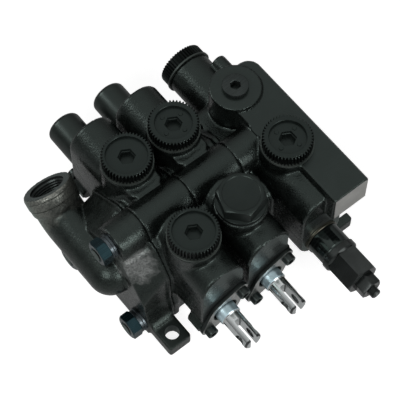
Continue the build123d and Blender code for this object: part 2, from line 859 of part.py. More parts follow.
def port_cap(recess_radius, dots):
    """Knurled screw cap along local Z, its seat ring's top at 0."""
    cap = extrude(cap_profile(), amount=cap_height)
    floor = cap_height - cap_recess_depth
    cap -= Pos(0, 0, floor) * extrude(Circle(recess_radius), amount=cap_recess_depth)
    stem_low = -cap_ring_thickness - cap_stem_length
    stem = extrude(Circle(port_radius - small_clearance), amount=-stem_low)
    cap += Pos(0, 0, stem_low) * stem
    socket = extrude(hexagon(cap_socket, cap_socket_turn), amount=cap_socket_depth)
    cap -= Pos(0, 0, floor - cap_socket_depth) * socket
    if dots:
        dot = extrude(Circle(cap_dot_radius), amount=cap_dot_height)
        for i in range(cap_dot_count):
            cap += Rot(0, 0, cap_dot_turn + 360 * i / cap_dot_count) * Pos(cap_dot_circle, 0, floor) * dot
    return cap


def cap_places():
    """Frame of the seat of each capped port, in the order used for the cap nodes."""
    rise = mid_y + port_offset
    return {
        "port_cap_1_front": (section_xs[0], mid_y - port_offset, seat_height, (0, 0, 1)),
        "port_cap_1_rear": (section_xs[0], rise, seat_height, (0, 0, 1)),
        "port_cap_2_rear": (section_xs[1], rise, seat_height, (0, 0, 1)),
        "port_cap_inlet_top": (inlet_port_x, inlet_port_y, seat_height, (0, 0, 1)),
        "port_cap_inlet_rear": (inlet_port_x, rear_port_seat_y, rear_port_height, (0, 1, 0)),
    }


def cap_rings():
    """Thin sealing ring under each knurled cap."""
    shape = extrude(Circle(cap_ring_radius) - Circle(port_radius), amount=cap_ring_thickness)
    return Compound([frame_towards(x, y, z, d) * shape for x, y, z, d in cap_places().values()])


def hex_plug():
    """Hexagon-head steel plug in the unused front port of section 2."""
    plug = Pos(0, 0, plug_collar_height) * hexagon_bar(plug_across_flats, plug_head_height, plug_turn)
    plug += extrude(Circle(plug_collar_radius), amount=plug_collar_height)
    stem_length = plug_washer_thickness + plug_stem_length
    stem = extrude(Circle(port_radius - small_clearance), amount=stem_length)
    plug += Pos(0, 0, -stem_length) * stem
    place = (section_xs[1], mid_y - port_offset, seat_height + plug_washer_thickness)
    return Pos(*place) * plug


def hex_plug_washer():
    """Sealing washer under the hexagon plug."""
    return ring("z", section_xs[1], mid_y - port_offset, seat_height,
                seat_height + plug_washer_thickness, plug_washer_radius, port_radius)


def boss_plug():
    """Low socket plug in the round boss of the inlet casting."""
    plug = turned([
        (0, -boss_plug_stem_length), (boss_plug_stem_radius, -boss_plug_stem_length),
        (boss_plug_stem_radius, 0), (boss_plug_radius, 0),
        (boss_plug_radius, boss_plug_height - boss_plug_edge),
        (boss_plug_radius - boss_plug_edge, boss_plug_height),
        (0, boss_plug_height),
    ])
    socket = extrude(hexagon(boss_plug_socket), amount=boss_plug_socket_depth)
    plug -= Pos(0, 0, boss_plug_height - boss_plug_socket_depth) * socket
    return Pos(inlet_port_x, boss_y, boss_top) * plug


def joint_rings():
    """Sealing rings round the pressure and tank galleries in each joint face."""
    outer = ring_outer_radius - ring_squeeze
    solids = []
    for x in joint_xs:
        for dy, dz in (pressure_gallery, tank_gallery):
            y = mid_y + dy
            z = spool_height + dz
            solids.append(ring("x", y, z, x - ring_depth, x, outer, ring_inner_radius))
    return Compound(solids)


def load_check_poppet(x1):
    """Load check poppet in the pocket of the joint face at x1."""
    start = x1 - check_pocket_depth
    y = mid_y + check_offset
    z = spool_height + check_rise
    radius = check_pocket_radius - running_clearance
    poppet = rod("x", y, z, start, start + check_length, radius)
    poppet += rod("x", y, z, start - check_nose_length, start, check_nose_radius)
    cup = start + check_length - check_cup_depth
    return poppet - rod("x", y, z, cup, start + check_length, check_cup_radius)


def load_check_spring(x1):
    """Light spring between a load check poppet and the neighbouring casting."""
    start = x1 - check_pocket_depth + check_length - check_cup_depth
    shape = coil(check_spring_radius, check_spring_wire, x1 - start, check_spring_turns)
    y = mid_y + check_offset
    return frame_towards(start, y, spool_height + check_rise, (1, 0, 0), (0, 1, 0)) * shape


def relief_washer():
    """Sealing washer under the relief valve."""
    return ring("y", relief_x, spool_height, relief_base_y, relief_face_y,
                relief_washer_radius, relief_thread_radius + small_clearance)


def relief_body():
    """Screwed body of the relief valve with its seat at the inner end."""
    body = on_relief_axis(relief_ring_y, relief_base_y, relief_body_radius)
    body += on_relief_axis(relief_base_y, relief_end_y, relief_thread_radius)
    body -= on_relief_axis(relief_ring_y, relief_seat_y, relief_bore_radius)
    body -= on_relief_axis(relief_ring_y, sleeve_spigot_y, relief_counterbore_radius)
    body -= on_relief_axis(relief_seat_y, relief_end_y, relief_seat_hole)
    return body


def relief_sleeve():
    """Hexagon sleeve that closes the relief valve and carries the adjusting screw."""
    sleeve = on_relief_axis(sleeve_hex_y, relief_ring_y, sleeve_ring_radius)
    sleeve = chamfer(sleeve.faces().sort_by(Axis.Y)[0].edges(), sleeve_chamfer)
    head = hexagon_bar(sleeve_across_flats, sleeve_hex_length, sleeve_turn)
    sleeve += frame_towards(relief_x, sleeve_hex_y, spool_height, (0, -1, 0)) * head
    spigot = relief_counterbore_radius - small_clearance
    sleeve += on_relief_axis(relief_ring_y, sleeve_spigot_y, spigot)
    sleeve -= on_relief_axis(sleeve_hex_y, sleeve_spigot_y, relief_bore_radius)
    sleeve -= on_relief_axis(sleeve_end_y, sleeve_hex_y, adjuster_radius + running_clearance)
    return sleeve


def relief_lock_nut():
    """Lock nut on the adjusting screw."""
    bar = hexagon_bar(locknut_across_flats, locknut_height, locknut_turn)
    nut = frame_towards(relief_x, sleeve_end_y, spool_height, (0, -1, 0)) * bar
    return nut - on_relief_axis(locknut_end_y, sleeve_end_y, adjuster_radius + running_clearance)


def relief_adjusting_screw():
    """Adjusting screw that presses on the spring seat."""
    seat_back = spring_seat_y - spring_seat_length
    screw = on_relief_axis(adjuster_end_y, seat_back, adjuster_radius)
    screw = chamfer(screw.faces().sort_by(Axis.Y)[0].edges(), adjuster_edge)
    floor_y = adjuster_end_y + adjuster_socket_depth
    return screw - prism("y", relief_x, spool_height, adjuster_end_y, floor_y, hexagon(adjuster_socket))


def relief_spring_seat():
    """Guide that the adjusting screw pushes against the relief spring."""
    radius = relief_bore_radius - running_clearance
    seat = on_relief_axis(spring_seat_y - spring_seat_length, spring_seat_y, radius)
    pin = relief_spring_radius - relief_spring_wire / 2 - small_clearance
    return seat + on_relief_axis(spring_seat_y, spring_seat_y + spring_pin_length, pin)


def relief_poppet():
    """Poppet that closes the relief seat with its cone."""
    radius = relief_bore_radius - running_clearance
    nose = relief_seat_hole - running_clearance
    tip = relief_poppet_length + poppet_nose_length
    shape = turned([
        (0, 0), (radius, 0), (radius, relief_poppet_length - poppet_cone_length),
        (nose, relief_poppet_length), (nose, tip), (0, tip),
    ])
    return frame_towards(relief_x, poppet_start_y, spool_height, (0, 1, 0)) * shape


def relief_spring():
    """Relief spring between its seat and the poppet."""
    length = poppet_start_y - spring_seat_y
    shape = coil(relief_spring_radius, relief_spring_wire, length, relief_spring_turns)
    return frame_towards(relief_x, spring_seat_y, spool_height, (0, 1, 0), (1, 0, 0)) * shape


def all_nodes():
    """Every node by name."""
    nodes = {
        "outlet_section": outlet_section(),
        "inlet_section": inlet_section(),
        "tie_rods": tie_rods(),
        "tie_rod_washers": tie_rod_washers(),
        "tie_rod_lock_washers": tie_rod_lock_washers(),
        "tie_rod_nuts": tie_rod_nuts(),
        "port_cap_rings": cap_rings(),
        "hex_plug_2_front": hex_plug(),
        "hex_plug_washer": hex_plug_washer(),
        "inlet_boss_plug": boss_plug(),
        "joint_seal_rings": joint_rings(),
        "relief_washer": relief_washer(),
        "relief_body": relief_body(),
        "relief_sleeve": relief_sleeve(),
        "relief_lock_nut": relief_lock_nut(),
        "relief_adjusting_screw": relief_adjusting_screw(),
        "relief_spring_seat": relief_spring_seat(),
        "relief_poppet": relief_poppet(),
        "relief_spring": relief_spring(),
    }
    for number, x in enumerate(section_xs, start=1):
        nodes[f"work_section_{number}"] = work_section(x - section_pitch / 2)
        nodes[f"spool_{number}"] = spool(x)
        nodes[f"wiper_seal_{number}"] = wiper_seal(x)
        nodes[f"rear_seal_{number}"] = rear_seal(x)
        nodes[f"retainer_plate_{number}"] = retainer_plate(x)
        nodes[f"retainer_screws_{number}"] = retainer_screws(x)
        nodes[f"spring_can_{number}"] = spring_can(x)
        nodes[f"spring_can_screws_{number}"] = spring_can_screws(x)
        nodes[f"spring_washer_{number}"] = spring_washer(x)
        nodes[f"centring_disc_{number}"] = centring_disc(x)
        nodes[f"spool_end_bolt_{number}"] = end_bolt(x)
        nodes[f"front_spring_{number}"] = front_spring(x)
        nodes[f"rear_spring_{number}"] = rear_spring(x)
        nodes[f"load_check_poppet_{number}"] = load_check_poppet(x + section_pitch / 2)
        nodes[f"load_check_spring_{number}"] = load_check_spring(x + section_pitch / 2)
    for name, (x, y, z, direction) in cap_places().items():
        wide = name.startswith("port_cap_1")
        recess = cap_recess_wide if wide else cap_recess_narrow
        lift = Pos(0, 0, cap_ring_thickness)
        nodes[name] = frame_towards(x, y, z, direction) * lift * port_cap(recess, not wide)
    return nodes


os.makedirs("parts", exist_ok=True)
for node_name, shape in all_nodes().items():
    export_step(shape, f"parts/{node_name}.step")
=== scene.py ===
"""Dresses the two-spool hydraulic control valve for its portrait.

Every class below looks after one sub-assembly. Sizes are in millimetres and are turned to metres where a mesh
is made. The frame is that of the CAD: X along the stack, -Y towards the clevises, +Z up.
"""
import logging
import math
from collections.abc import Callable, Sequence
from dataclasses import dataclass, field
from enum import Enum

import bmesh
import bpy
import numpy as np
from mathutils import Matrix, Vector


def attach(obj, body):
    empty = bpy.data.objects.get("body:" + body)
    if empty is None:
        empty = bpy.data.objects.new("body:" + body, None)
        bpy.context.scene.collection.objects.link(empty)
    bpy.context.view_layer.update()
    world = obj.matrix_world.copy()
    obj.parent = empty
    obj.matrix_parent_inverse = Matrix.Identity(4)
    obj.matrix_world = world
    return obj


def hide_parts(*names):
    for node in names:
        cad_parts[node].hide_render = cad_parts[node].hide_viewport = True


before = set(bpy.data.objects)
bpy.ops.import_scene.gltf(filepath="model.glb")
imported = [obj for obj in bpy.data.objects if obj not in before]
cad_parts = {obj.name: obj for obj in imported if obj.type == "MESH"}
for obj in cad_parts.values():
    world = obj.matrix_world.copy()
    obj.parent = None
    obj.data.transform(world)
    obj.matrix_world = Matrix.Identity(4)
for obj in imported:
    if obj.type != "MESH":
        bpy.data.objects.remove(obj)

LOG = logging.getLogger("valve")
MM = 0.001
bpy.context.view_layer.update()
BLOCK = "valve_block"
Point = tuple[float, float, float]
Profile = Sequence[tuple[float, float]]

FRONT_Y = -17.0
REAR_Y = 130.0
SPOOL_Z = 42.0
SEAT_Z = 101.5
EAR_OFFSET = 13.789
SECTION_WIDTH = 40.0
SPOOL_X = {1: 31.0, 2: 71.0}
RODS = ((50.0, 86.0), (22.0, 12.0), (90.0, 12.0))


class Toward(Enum):
    """Direction in which a piece's own Z axis points."""

    UP = (0.0, 0.0, 1.0)
    DOWN = (0.0, 0.0, -1.0)
    FRONT = (0.0, -1.0, 0.0)
    REAR = (0.0, 1.0, 0.0)
    LEFT = (-1.0, 0.0, 0.0)
    RIGHT = (1.0, 0.0, 0.0)
    REAR_UP = (0.0, math.sqrt(0.5), math.sqrt(0.5))


class Pattern(Enum):
    """Small relief that a finish carries, with the range of its mask and its depth in metres."""

    CAST = ("cast", 0.15, 0.6, 0.00045)
    TURNED = ("turned", 0.15, 0.6, 0.0003)
    BRUSHED = ("brushed", 0.15, 0.6, 0.0003)
    MOULDED = ("moulded", 0.3, 0.7, 0.0003)
    SMOOTH = ("smooth", 0.3, 0.7, 0.0003)


# Shared shader groups


def plug_in(tree: bpy.types.NodeTree, socket: bpy.types.NodeSocket, value: object) -> None:
    """Link an input socket to another socket, or set its value.

    Args:
        tree: Node tree that holds both.
        socket: Input socket.
        value: Socket to link from, or a plain value.
    """
    if isinstance(value, bpy.types.NodeSocket):
        tree.links.new(value, socket)
    else:
        socket.default_value = value


def add_node(
    tree: bpy.types.NodeTree, kind: str, inputs: dict[str | int, object] | None = None, **settings: object,
) -> bpy.types.Node:
    """Add a shader node.

    Args:
        tree: Node tree that gets it.
        kind: Type of the node, without ShaderNode.
        inputs: Sockets or values for its inputs, by name or number.
        settings: Values for the node's own properties.

    Returns:
        The node.
    """
    node = tree.nodes.new(f"ShaderNode{kind}")
    for label, value in settings.items():
        setattr(node, label, value)
    for label, value in (inputs or {}).items():
        plug_in(tree, node.inputs[label], value)
    return node


def math_node(tree: bpy.types.NodeTree, operation: str, *values: object) -> bpy.types.NodeSocket:
    """Add a Math node and return its output.

    Args:
        tree: Node tree that gets it.
        operation: Name of the operation.
        values: Numbers or sockets for its inputs.

    Returns:
        The output socket.
    """
    return add_node(tree, "Math", dict(enumerate(values)), operation=operation).outputs[0]


def noise_node(
    tree: bpy.types.NodeTree, vector: bpy.types.NodeSocket, scale: object, detail: float = 3.0,
) -> bpy.types.NodeSocket:
    """Add a noise texture.

    Args:
        tree: Node tree that gets it.
        vector: Socket with the coordinates.
        scale: Number or socket with the scale, in features per metre.
        detail: Number of finer layers.

    Returns:
        The factor socket.
    """
    return add_node(tree, "TexNoise", {"Vector": vector, "Scale": scale, "Detail": detail}).outputs["Fac"]


@dataclass
class ReliefGroup:
    """A shader node group in the making, with a Vector input and the outputs Height and Mask."""

    name: str
    inputs: dict[str, float]

    def __post_init__(self) -> None:
        """Start the group and keep its inputs' sockets."""
        self.tree = bpy.data.node_groups.new(self.name, "ShaderNodeTree")
        self.tree.interface.new_socket("Vector", in_out="INPUT", socket_type="NodeSocketVector")
        for label, value in self.inputs.items():
            socket = self.tree.interface.new_socket(label, in_out="INPUT", socket_type="NodeSocketFloat")
            socket.default_value = value
        for label in ("Height", "Mask"):
            self.tree.interface.new_socket(label, in_out="OUTPUT", socket_type="NodeSocketFloat")
        self.source = self.tree.nodes.new("NodeGroupInput").outputs
        self.vector = self.source["Vector"]

    def noise(self, scale: str, detail: float) -> bpy.types.NodeSocket:
        """Add noise at the scale of one of the group's inputs."""
        return noise_node(self.tree, self.vector, self.source[scale], detail)

    def math(self, operation: str, *values: object) -> bpy.types.NodeSocket:
        """Add a Math node and return its output."""
        return math_node(self.tree, operation, *values)

    def parts(self) -> bpy.types.NodeOutputs:
        """Split the coordinates into X, Y and Z."""
        return add_node(self.tree, "SeparateXYZ", {0: self.vector}).outputs

    def close(self, height: bpy.types.NodeSocket, mask: bpy.types.NodeSocket) -> bpy.types.NodeTree:
        """Link the outputs.

        Args:
            height: Socket for Height.
            mask: Socket for Mask.

        Returns:
            The finished group's node tree.
        """
        target = self.tree.nodes.new("NodeGroupOutput").inputs
        self.tree.links.new(height, target["Height"])
        self.tree.links.new(mask, target["Mask"])
        return self.tree


def cast_group() -> bpy.types.NodeTree:
    """Build the sand-cast skin: coarse waves with fine grain on them.

    Returns:
        The group's node tree.
    """
    group = ReliefGroup("cast_skin", {"Grain": 900.0, "Wave": 140.0})
    grain = group.noise("Grain", 4.0)
    wave = group.noise("Wave", 2.0)
    height = group.math("ADD", group.math("MULTIPLY", wave, 0.6), group.math("MULTIPLY", grain, 0.55))
    return group.close(height, group.math("MULTIPLY", grain, wave))


def turned_group() -> bpy.types.NodeTree:
    """Build the fine rings that a cutting tool leaves round the local Z axis.

    Returns:
        The group's node tree.
    """
    group = ReliefGroup("turned_rings", {"Pitch": 2500.0, "Wander": 60.0})
    x, y, z = group.parts()
    radius = group.math("SQRT", group.math("ADD", group.math("POWER", x, 2.0), group.math("POWER", y, 2.0)))
    phase = group.math("MULTIPLY", group.math("ADD", radius, z), group.source["Pitch"])
    rings = group.math("MULTIPLY_ADD", group.math("SINE", phase), 0.5, 0.5)
    return group.close(rings, group.math("MULTIPLY", rings, group.noise("Wander", 3.0)))


def brushed_group() -> bpy.types.NodeTree:
    """Build straight, stretched scratches along the local X axis.

    Returns:
        The group's node tree.
    """
    group = ReliefGroup("brushed_lines", {"Fine": 2600.0, "Stretch": 0.03, "Cloud": 90.0})
    x, y, z = group.parts()
    stretched = group.math("MULTIPLY", x, group.source["Stretch"])
    place = add_node(group.tree, "CombineXYZ", {0: stretched, 1: y, 2: z}).outputs[0]
    lines = noise_node(group.tree, place, group.source["Fine"], 2.0)
    return group.close(lines, group.math("MULTIPLY", lines, group.noise("Cloud", 3.0)))


def moulded_group() -> bpy.types.NodeTree:
    """Build the soft orange-peel of moulded plastic, rubber and thin paint."""
    group = ReliefGroup("moulded_skin", {"Grain": 1500.0, "Cloud": 70.0})
    return group.close(group.noise("Grain", 2.0), group.noise("Cloud", 3.0))


class Groups:
    """The shared node groups, each built once."""

    makers: dict[Pattern, Callable[[], bpy.types.NodeTree]] = {
        Pattern.CAST: cast_group,
        Pattern.TURNED: turned_group,
        Pattern.BRUSHED: brushed_group,
        Pattern.MOULDED: moulded_group,
        Pattern.SMOOTH: moulded_group,
    }
    made: dict[Callable[[], bpy.types.NodeTree], bpy.types.NodeTree] = {}

    @classmethod
    def get(cls, pattern: Pattern) -> bpy.types.NodeTree:
        """Find the group of a pattern, and build it at its first use.

        Args:
            pattern: Pattern of a finish.

        Returns:
            The group's node tree.
        """
        maker = cls.makers[pattern]
        if maker not in cls.made:
            cls.made[maker] = maker()
        return cls.made[maker]


# Finishes


@dataclass(frozen=True)
class Fade:
    """Paint that thins out to a worn finish, along a direction or towards a centre; one such patch is a
    painted highlight.

    The paint is whole at the start and worn at the end. Both are places along the direction or, with a
    centre, distances from it. Patches move that border to and fro by their reach, and fine noise keeps some
    of the paint.
    """

    start: float
    end: float
    worn_and_lit_colour: Point
    metallic: float
    roughness: float
    toward: Toward = Toward.REAR
    centre: Point | None = None
    patch_scale: float = 150.0
    patch_reach: float = 10.0
    scratch_scale: float = 700.0
    scratch_contrast: float = 2.4
    scratch_shift: float = -0.45
    least_blend: float = 0.4

    def amount(self, tree: bpy.types.NodeTree, place: bpy.types.NodeSocket) -> bpy.types.NodeSocket:
        """Work out how far the paint gives way to the worn finish, which in one patch is a painted highlight.

        Args:
            tree: Node tree of the material.
            place: Socket with the object's own coordinates.

        Returns:
            A socket that runs from 0, whole, to 1, fully worn, and in the highlight patch fully lit.
        """
        operation = "DISTANCE" if self.centre else "DOT_PRODUCT"
        other = [v * MM for v in self.centre] if self.centre else self.toward.value
        measure = add_node(tree, "VectorMath", {0: place, 1: other}, operation=operation).outputs["Value"]
        reach = self.patch_reach * MM
        patches = noise_node(tree, place, self.patch_scale, 5.0)
        border = math_node(tree, "ADD", measure, math_node(tree, "MULTIPLY_ADD", patches, 2 * reach, -reach))
        scale = add_node(tree, "MapRange", {
            "Value": border, "From Min": self.start * MM, "From Max": self.end * MM,
        })
        fine = noise_node(tree, place, self.scratch_scale, 6.0)
        scratches = math_node(tree, "MULTIPLY_ADD", fine, self.scratch_contrast, self.scratch_shift)
        kept = math_node(tree, "MINIMUM", math_node(tree, "MAXIMUM", scratches, self.least_blend), 1.0)
        return math_node(tree, "MULTIPLY", scale.outputs["Result"], kept)

    def wear_and_highlight(self, tree: bpy.types.NodeTree, place: bpy.types.NodeSocket) -> None:
        """Blend a material's colour, metallic share and roughness towards the worn finish; in one patch, a
        painted highlight.

        Args:
            tree: Node tree of the material.
            place: Socket with the object's own coordinates.
        """
        amount = self.amount(tree, place)
        shader = tree.nodes["Principled BSDF"]
        goals = {"Base Color": (*self.worn_and_lit_colour, 1.0), "Metallic": self.metallic, "Roughness": self.roughness}
        for label, goal in goals.items():
            socket = shader.inputs[label]
            before = socket.links[0].from_socket if socket.is_linked else socket.default_value
            kind = "RGBA" if label == "Base Color" else "FLOAT"
            blend = add_node(tree, "Mix", {"Factor": amount, "A": before, "B": goal}, data_type=kind)
            tree.links.new(blend.outputs["Result"], socket)


@dataclass(frozen=True)
class Finish:
    """One surface finish.

    The colour runs from dark to light with the pattern's mask, and the roughness over its range.
    """

    name: str
    slot: str
    pattern: Pattern
    dark: Point
    light: Point
    metallic: float = 0.0
    rough: tuple[float, float] = (0.3, 0.5)
    relief: float = 0.05
    specular: float = 0.5
    centre: Point = (0.0, 0.0, 0.0)
    turn: Point = (0.0, 0.0, 0.0)
    fades: tuple[Fade, ...] = ()

    def material(self) -> bpy.types.Material:
        """Build the material, or return it if it exists.

        Returns:
            The material.
        """
        known = bpy.data.materials.get(self.name)
        if known:
            return known
        material = bpy.data.materials.new(self.name)
        material.use_nodes = True
        tree = material.node_tree
        place = add_node(tree, "TexCoord").outputs["Object"]
        local = add_node(tree, "Mapping", {
            "Vector": place, "Location": [v * MM for v in self.centre],
            "Rotation": [math.radians(v) for v in self.turn],
        }, vector_type="TEXTURE").outputs["Vector"]
        pattern = add_node(tree, "Group", {"Vector": local}, node_tree=Groups.get(self.pattern)).outputs
        low, high, depth = self.pattern.value[1:]
        mask = add_node(tree, "MapRange", {
            "Value": pattern["Mask"], "From Min": low, "From Max": high,
        }).outputs["Result"]
        colour = add_node(tree, "Mix", {
            "Factor": mask, "A": (*self.dark, 1.0), "B": (*self.light, 1.0),
        }, data_type="RGBA").outputs["Result"]
        rough = add_node(tree, "MapRange", {"Value": mask, "To Min": self.rough[0], "To Max": self.rough[1]})
        bump = add_node(tree, "Bump", {
            "Strength": self.relief, "Distance": depth, "Height": pattern["Height"],
        })
        surface = {
            "Base Color": colour, "Metallic": self.metallic, "Roughness": rough.outputs["Result"],
            "Normal": bump.outputs["Normal"], "Specular IOR Level": self.specular,
        }
        # Non-metals take the painted cool sheen.
        if self.metallic < METAL_FROM:
            surface["Specular Tint"] = COOL_SHEEN
        for label, value in surface.items():
            plug_in(tree, tree.nodes["Principled BSDF"].inputs[label], value)
        for fade in self.fades:
            fade.wear_and_highlight(tree, place)
        return material

    def dress(self, piece: bpy.types.Object) -> None:
        """Give the whole piece this finish.

        Args:
            piece: Piece to dress.
        """
        piece.data.materials.clear()
        piece.data.materials.append(self.material())


METAL_FROM = 0.6
# Painted sheen: a cool tint on the reflections of every non-metal finish, standing in for bluish light.
COOL_SHEEN = (0.8, 1.0, 0.93, 1.0)
RELIEF_CENTRE = (119.0, 0.0, 42.0)
FRONT_TURN = (90.0, 0.0, 0.0)

CASTING_PAINT = Finish(
    "black_casting_paint", "black_casting", Pattern.CAST, (0.003, 0.0038, 0.0034), (0.011, 0.0135, 0.0125),
    rough=(0.22, 0.42), relief=0.75, specular=0.42,
)
OUTLET_PAINT = Finish(
    "outlet_casting_paint", "black_casting", Pattern.CAST, (0.004, 0.005, 0.0045), (0.016, 0.019, 0.017),
    rough=(0.24, 0.42), relief=0.75, specular=0.42,
    fades=(
        Fade(95.0, 108.0, (0.2, 0.205, 0.185), 0.8, 0.36),
        # Bare patch on the front of the rod boss: worn paint that also serves as a painted highlight there.
        Fade(17.0, 9.0, (0.26, 0.27, 0.265), 0.7, 0.34, centre=(-1.5, 35.0, 70.0)),
    ),
)
MILLED_PAINT = Finish(
    "milled_paint", "black_casting", Pattern.BRUSHED, (0.006, 0.0075, 0.007), (0.014, 0.0175, 0.0165),
    rough=(0.28, 0.42), relief=0.1, specular=0.42,
)
BRIGHT_MACHINED = Finish(
    "bright_machined_iron", "black_casting", Pattern.BRUSHED, (0.4, 0.4, 0.38), (0.62, 0.62, 0.6),
    metallic=0.9, rough=(0.32, 0.48), relief=0.1,
)
MACHINED = Finish(
    "machined_iron", "black_casting", Pattern.BRUSHED, (0.022, 0.024, 0.024), (0.05, 0.055, 0.056),
    metallic=0.35, rough=(0.26, 0.4), relief=0.08, specular=0.3,
)
# Painted shade: a darker, duller copy of the cap plastic for the knurled sides, where shade falls.
CAP_SIDE_PAINTED_SHADE = Finish(
    "knurl_painted_shade", "cap_plastic", Pattern.SMOOTH, (0.002, 0.0023, 0.0022), (0.004, 0.0045, 0.0043),
    rough=(0.35, 0.45), relief=0.02, specular=0.14,
)
CAP_PLASTIC = Finish(
    "moulded_black_cap", "cap_plastic", Pattern.MOULDED, (0.004, 0.0055, 0.005), (0.008, 0.0105, 0.01),
    rough=(0.28, 0.4), relief=0.05, specular=0.32,
)
ZINC = Finish(
    "rod_steel", "zinc_steel", Pattern.BRUSHED, (0.006, 0.007, 0.007), (0.03, 0.033, 0.032),
    metallic=0.5, rough=(0.3, 0.45), relief=0.05, specular=0.3,
)
PLUG_STEEL = Finish(
    "dark_plug_steel", "zinc_steel", Pattern.BRUSHED, (0.006, 0.0075, 0.007), (0.014, 0.017, 0.016),
    metallic=0.1, rough=(0.28, 0.42), relief=0.05, specular=0.32,
)
BLACK_STEEL = Finish(
    "black_oxide", "black_steel", Pattern.BRUSHED, (0.015, 0.017, 0.017), (0.04, 0.045, 0.045),
    metallic=0.5, rough=(0.22, 0.38), relief=0.05,
)
BRIGHT_STEEL = Finish(
    "bright_plate", "spool_steel", Pattern.SMOOTH, (0.52, 0.55, 0.55), (0.66, 0.69, 0.69),
    metallic=1.0, rough=(0.12, 0.2), relief=0.004,
)
PLATE_STEEL = Finish(
    "stamped_plate", "plate_steel", Pattern.BRUSHED, (0.3, 0.31, 0.3), (0.5, 0.51, 0.49),
    metallic=0.9, rough=(0.26, 0.42), relief=0.08,
)
CAN_PAINT = Finish(
    "can_paint", "can_steel", Pattern.MOULDED, (0.004, 0.005, 0.0045), (0.009, 0.0105, 0.0095),
    rough=(0.26, 0.38), relief=0.03, specular=0.42,
)
SPRING_STEEL = Finish(
    "wound_spring_steel", "spring_steel", Pattern.BRUSHED, (0.2, 0.2, 0.21), (0.4, 0.4, 0.42),
    metallic=1.0, rough=(0.3, 0.4), relief=0.02,
)
RUBBER = Finish(
    "black_rubber", "seal_rubber", Pattern.MOULDED, (0.008, 0.008, 0.008), (0.016, 0.016, 0.016),
    rough=(0.55, 0.7), relief=0.05,
)
DARK_WASHER = Finish(
    "dark_washer", "washer_steel", Pattern.SMOOTH, (0.02, 0.02, 0.019), (0.06, 0.058, 0.05),
    metallic=0.8, rough=(0.35, 0.5), relief=0.02,
)
PLATE_EDGE = Finish(
    "plate_edge", "plate_steel", Pattern.BRUSHED, (0.008, 0.009, 0.009), (0.02, 0.022, 0.022),
    metallic=0.3, rough=(0.4, 0.55), relief=0.05, specular=0.3,
)
# Painted reflection: the collar's steel is real, but its brighter, bluish colour stands in for reflected
# bluish light.
COLLAR_PAINTED_SHEEN = Finish(
    "satin_collar_painted_sheen", "spool_steel", Pattern.SMOOTH, (0.62, 0.8, 0.87), (0.7, 0.88, 0.95),
    metallic=0.95, rough=(0.3, 0.4), relief=0.004,
)
# Painted shade: a darker copy of the spool steel for the inside of the clevis slot and the pin hole.
SLOT_PAINTED_SHADE = Finish(
    "slot_painted_shade", "spool_steel", Pattern.BRUSHED, (0.06, 0.065, 0.065), (0.16, 0.17, 0.17),
    metallic=0.9, rough=(0.25, 0.4), relief=0.04,
)
SCREW_STEEL = Finish(
    "screw_black", "black_steel", Pattern.SMOOTH, (0.006, 0.007, 0.007), (0.02, 0.022, 0.022),
    metallic=0.4, rough=(0.22, 0.34), relief=0.02,
)
GLOSS_BLACK = Finish(
    "gloss_black_oxide", "black_steel", Pattern.TURNED, (0.004, 0.005, 0.005), (0.01, 0.012, 0.012),
    rough=(0.08, 0.14), relief=0.01, centre=RELIEF_CENTRE, turn=FRONT_TURN,
)
RELIEF_STEEL = Finish(
    "relief_steel", "black_steel", Pattern.BRUSHED, (0.03, 0.034, 0.033), (0.06, 0.068, 0.066),
    metallic=0.8, rough=(0.2, 0.32), relief=0.04,
)
ZINC_NUT = Finish(
    "zinc_nut", "zinc_steel", Pattern.BRUSHED, (0.0135, 0.0325, 0.039), (0.027, 0.06, 0.07),
    metallic=0.85, rough=(0.24, 0.36), relief=0.03, specular=0.3,
)
WASHER_STEEL = Finish(
    "washer_grey", "zinc_steel", Pattern.SMOOTH, (0.03, 0.04, 0.045), (0.12, 0.14, 0.15),
    metallic=0.9, rough=(0.2, 0.34), relief=0.01,
)
PALE_RING = Finish(
    "pale_ring", "seal_rubber", Pattern.MOULDED, (0.03, 0.036, 0.033), (0.06, 0.068, 0.062),
    rough=(0.3, 0.42), relief=0.02,
)
BRIGHT_WASHER = Finish(
    "bright_washer", "washer_steel", Pattern.TURNED, (0.1, 0.095, 0.075), (0.3, 0.28, 0.22),
    metallic=1.0, rough=(0.28, 0.4), relief=0.04, centre=RELIEF_CENTRE, turn=FRONT_TURN,
)

NODE_FINISHES: dict[str, Finish] = {
    "tie_rods": ZINC, "tie_rod_washers": WASHER_STEEL, "tie_rod_lock_washers": WASHER_STEEL,
    "tie_rod_nuts": ZINC_NUT,
    "port_cap_rings": PALE_RING, "hex_plug_2_front": PLUG_STEEL, "hex_plug_washer": DARK_WASHER,
    "inlet_boss_plug": PLUG_STEEL, "joint_seal_rings": RUBBER, "relief_washer": DARK_WASHER,
    "relief_body": BLACK_STEEL, "relief_sleeve": BLACK_STEEL, "relief_lock_nut": BLACK_STEEL,
    "relief_adjusting_screw": BLACK_STEEL, "relief_spring_seat": BRIGHT_STEEL, "relief_poppet": BRIGHT_STEEL,
    "relief_spring": SPRING_STEEL, "spool_end_bolt": BLACK_STEEL, "spool": BRIGHT_STEEL, "wiper_seal": RUBBER,
    "rear_seal": RUBBER, "retainer_plate": PLATE_STEEL, "retainer_screws": BLACK_STEEL,
    "spring_can_screws": BLACK_STEEL, "spring_can": CAN_PAINT, "spring_washer": PLATE_STEEL,
    "centring_disc": PLATE_STEEL, "front_spring": SPRING_STEEL, "rear_spring": SPRING_STEEL,
    "load_check_poppet": BRIGHT_STEEL, "load_check_spring": SPRING_STEEL, "port_cap": CAP_PLASTIC,
    "outlet_section": OUTLET_PAINT, "inlet_section": CASTING_PAINT, "work_section": CASTING_PAINT,
}


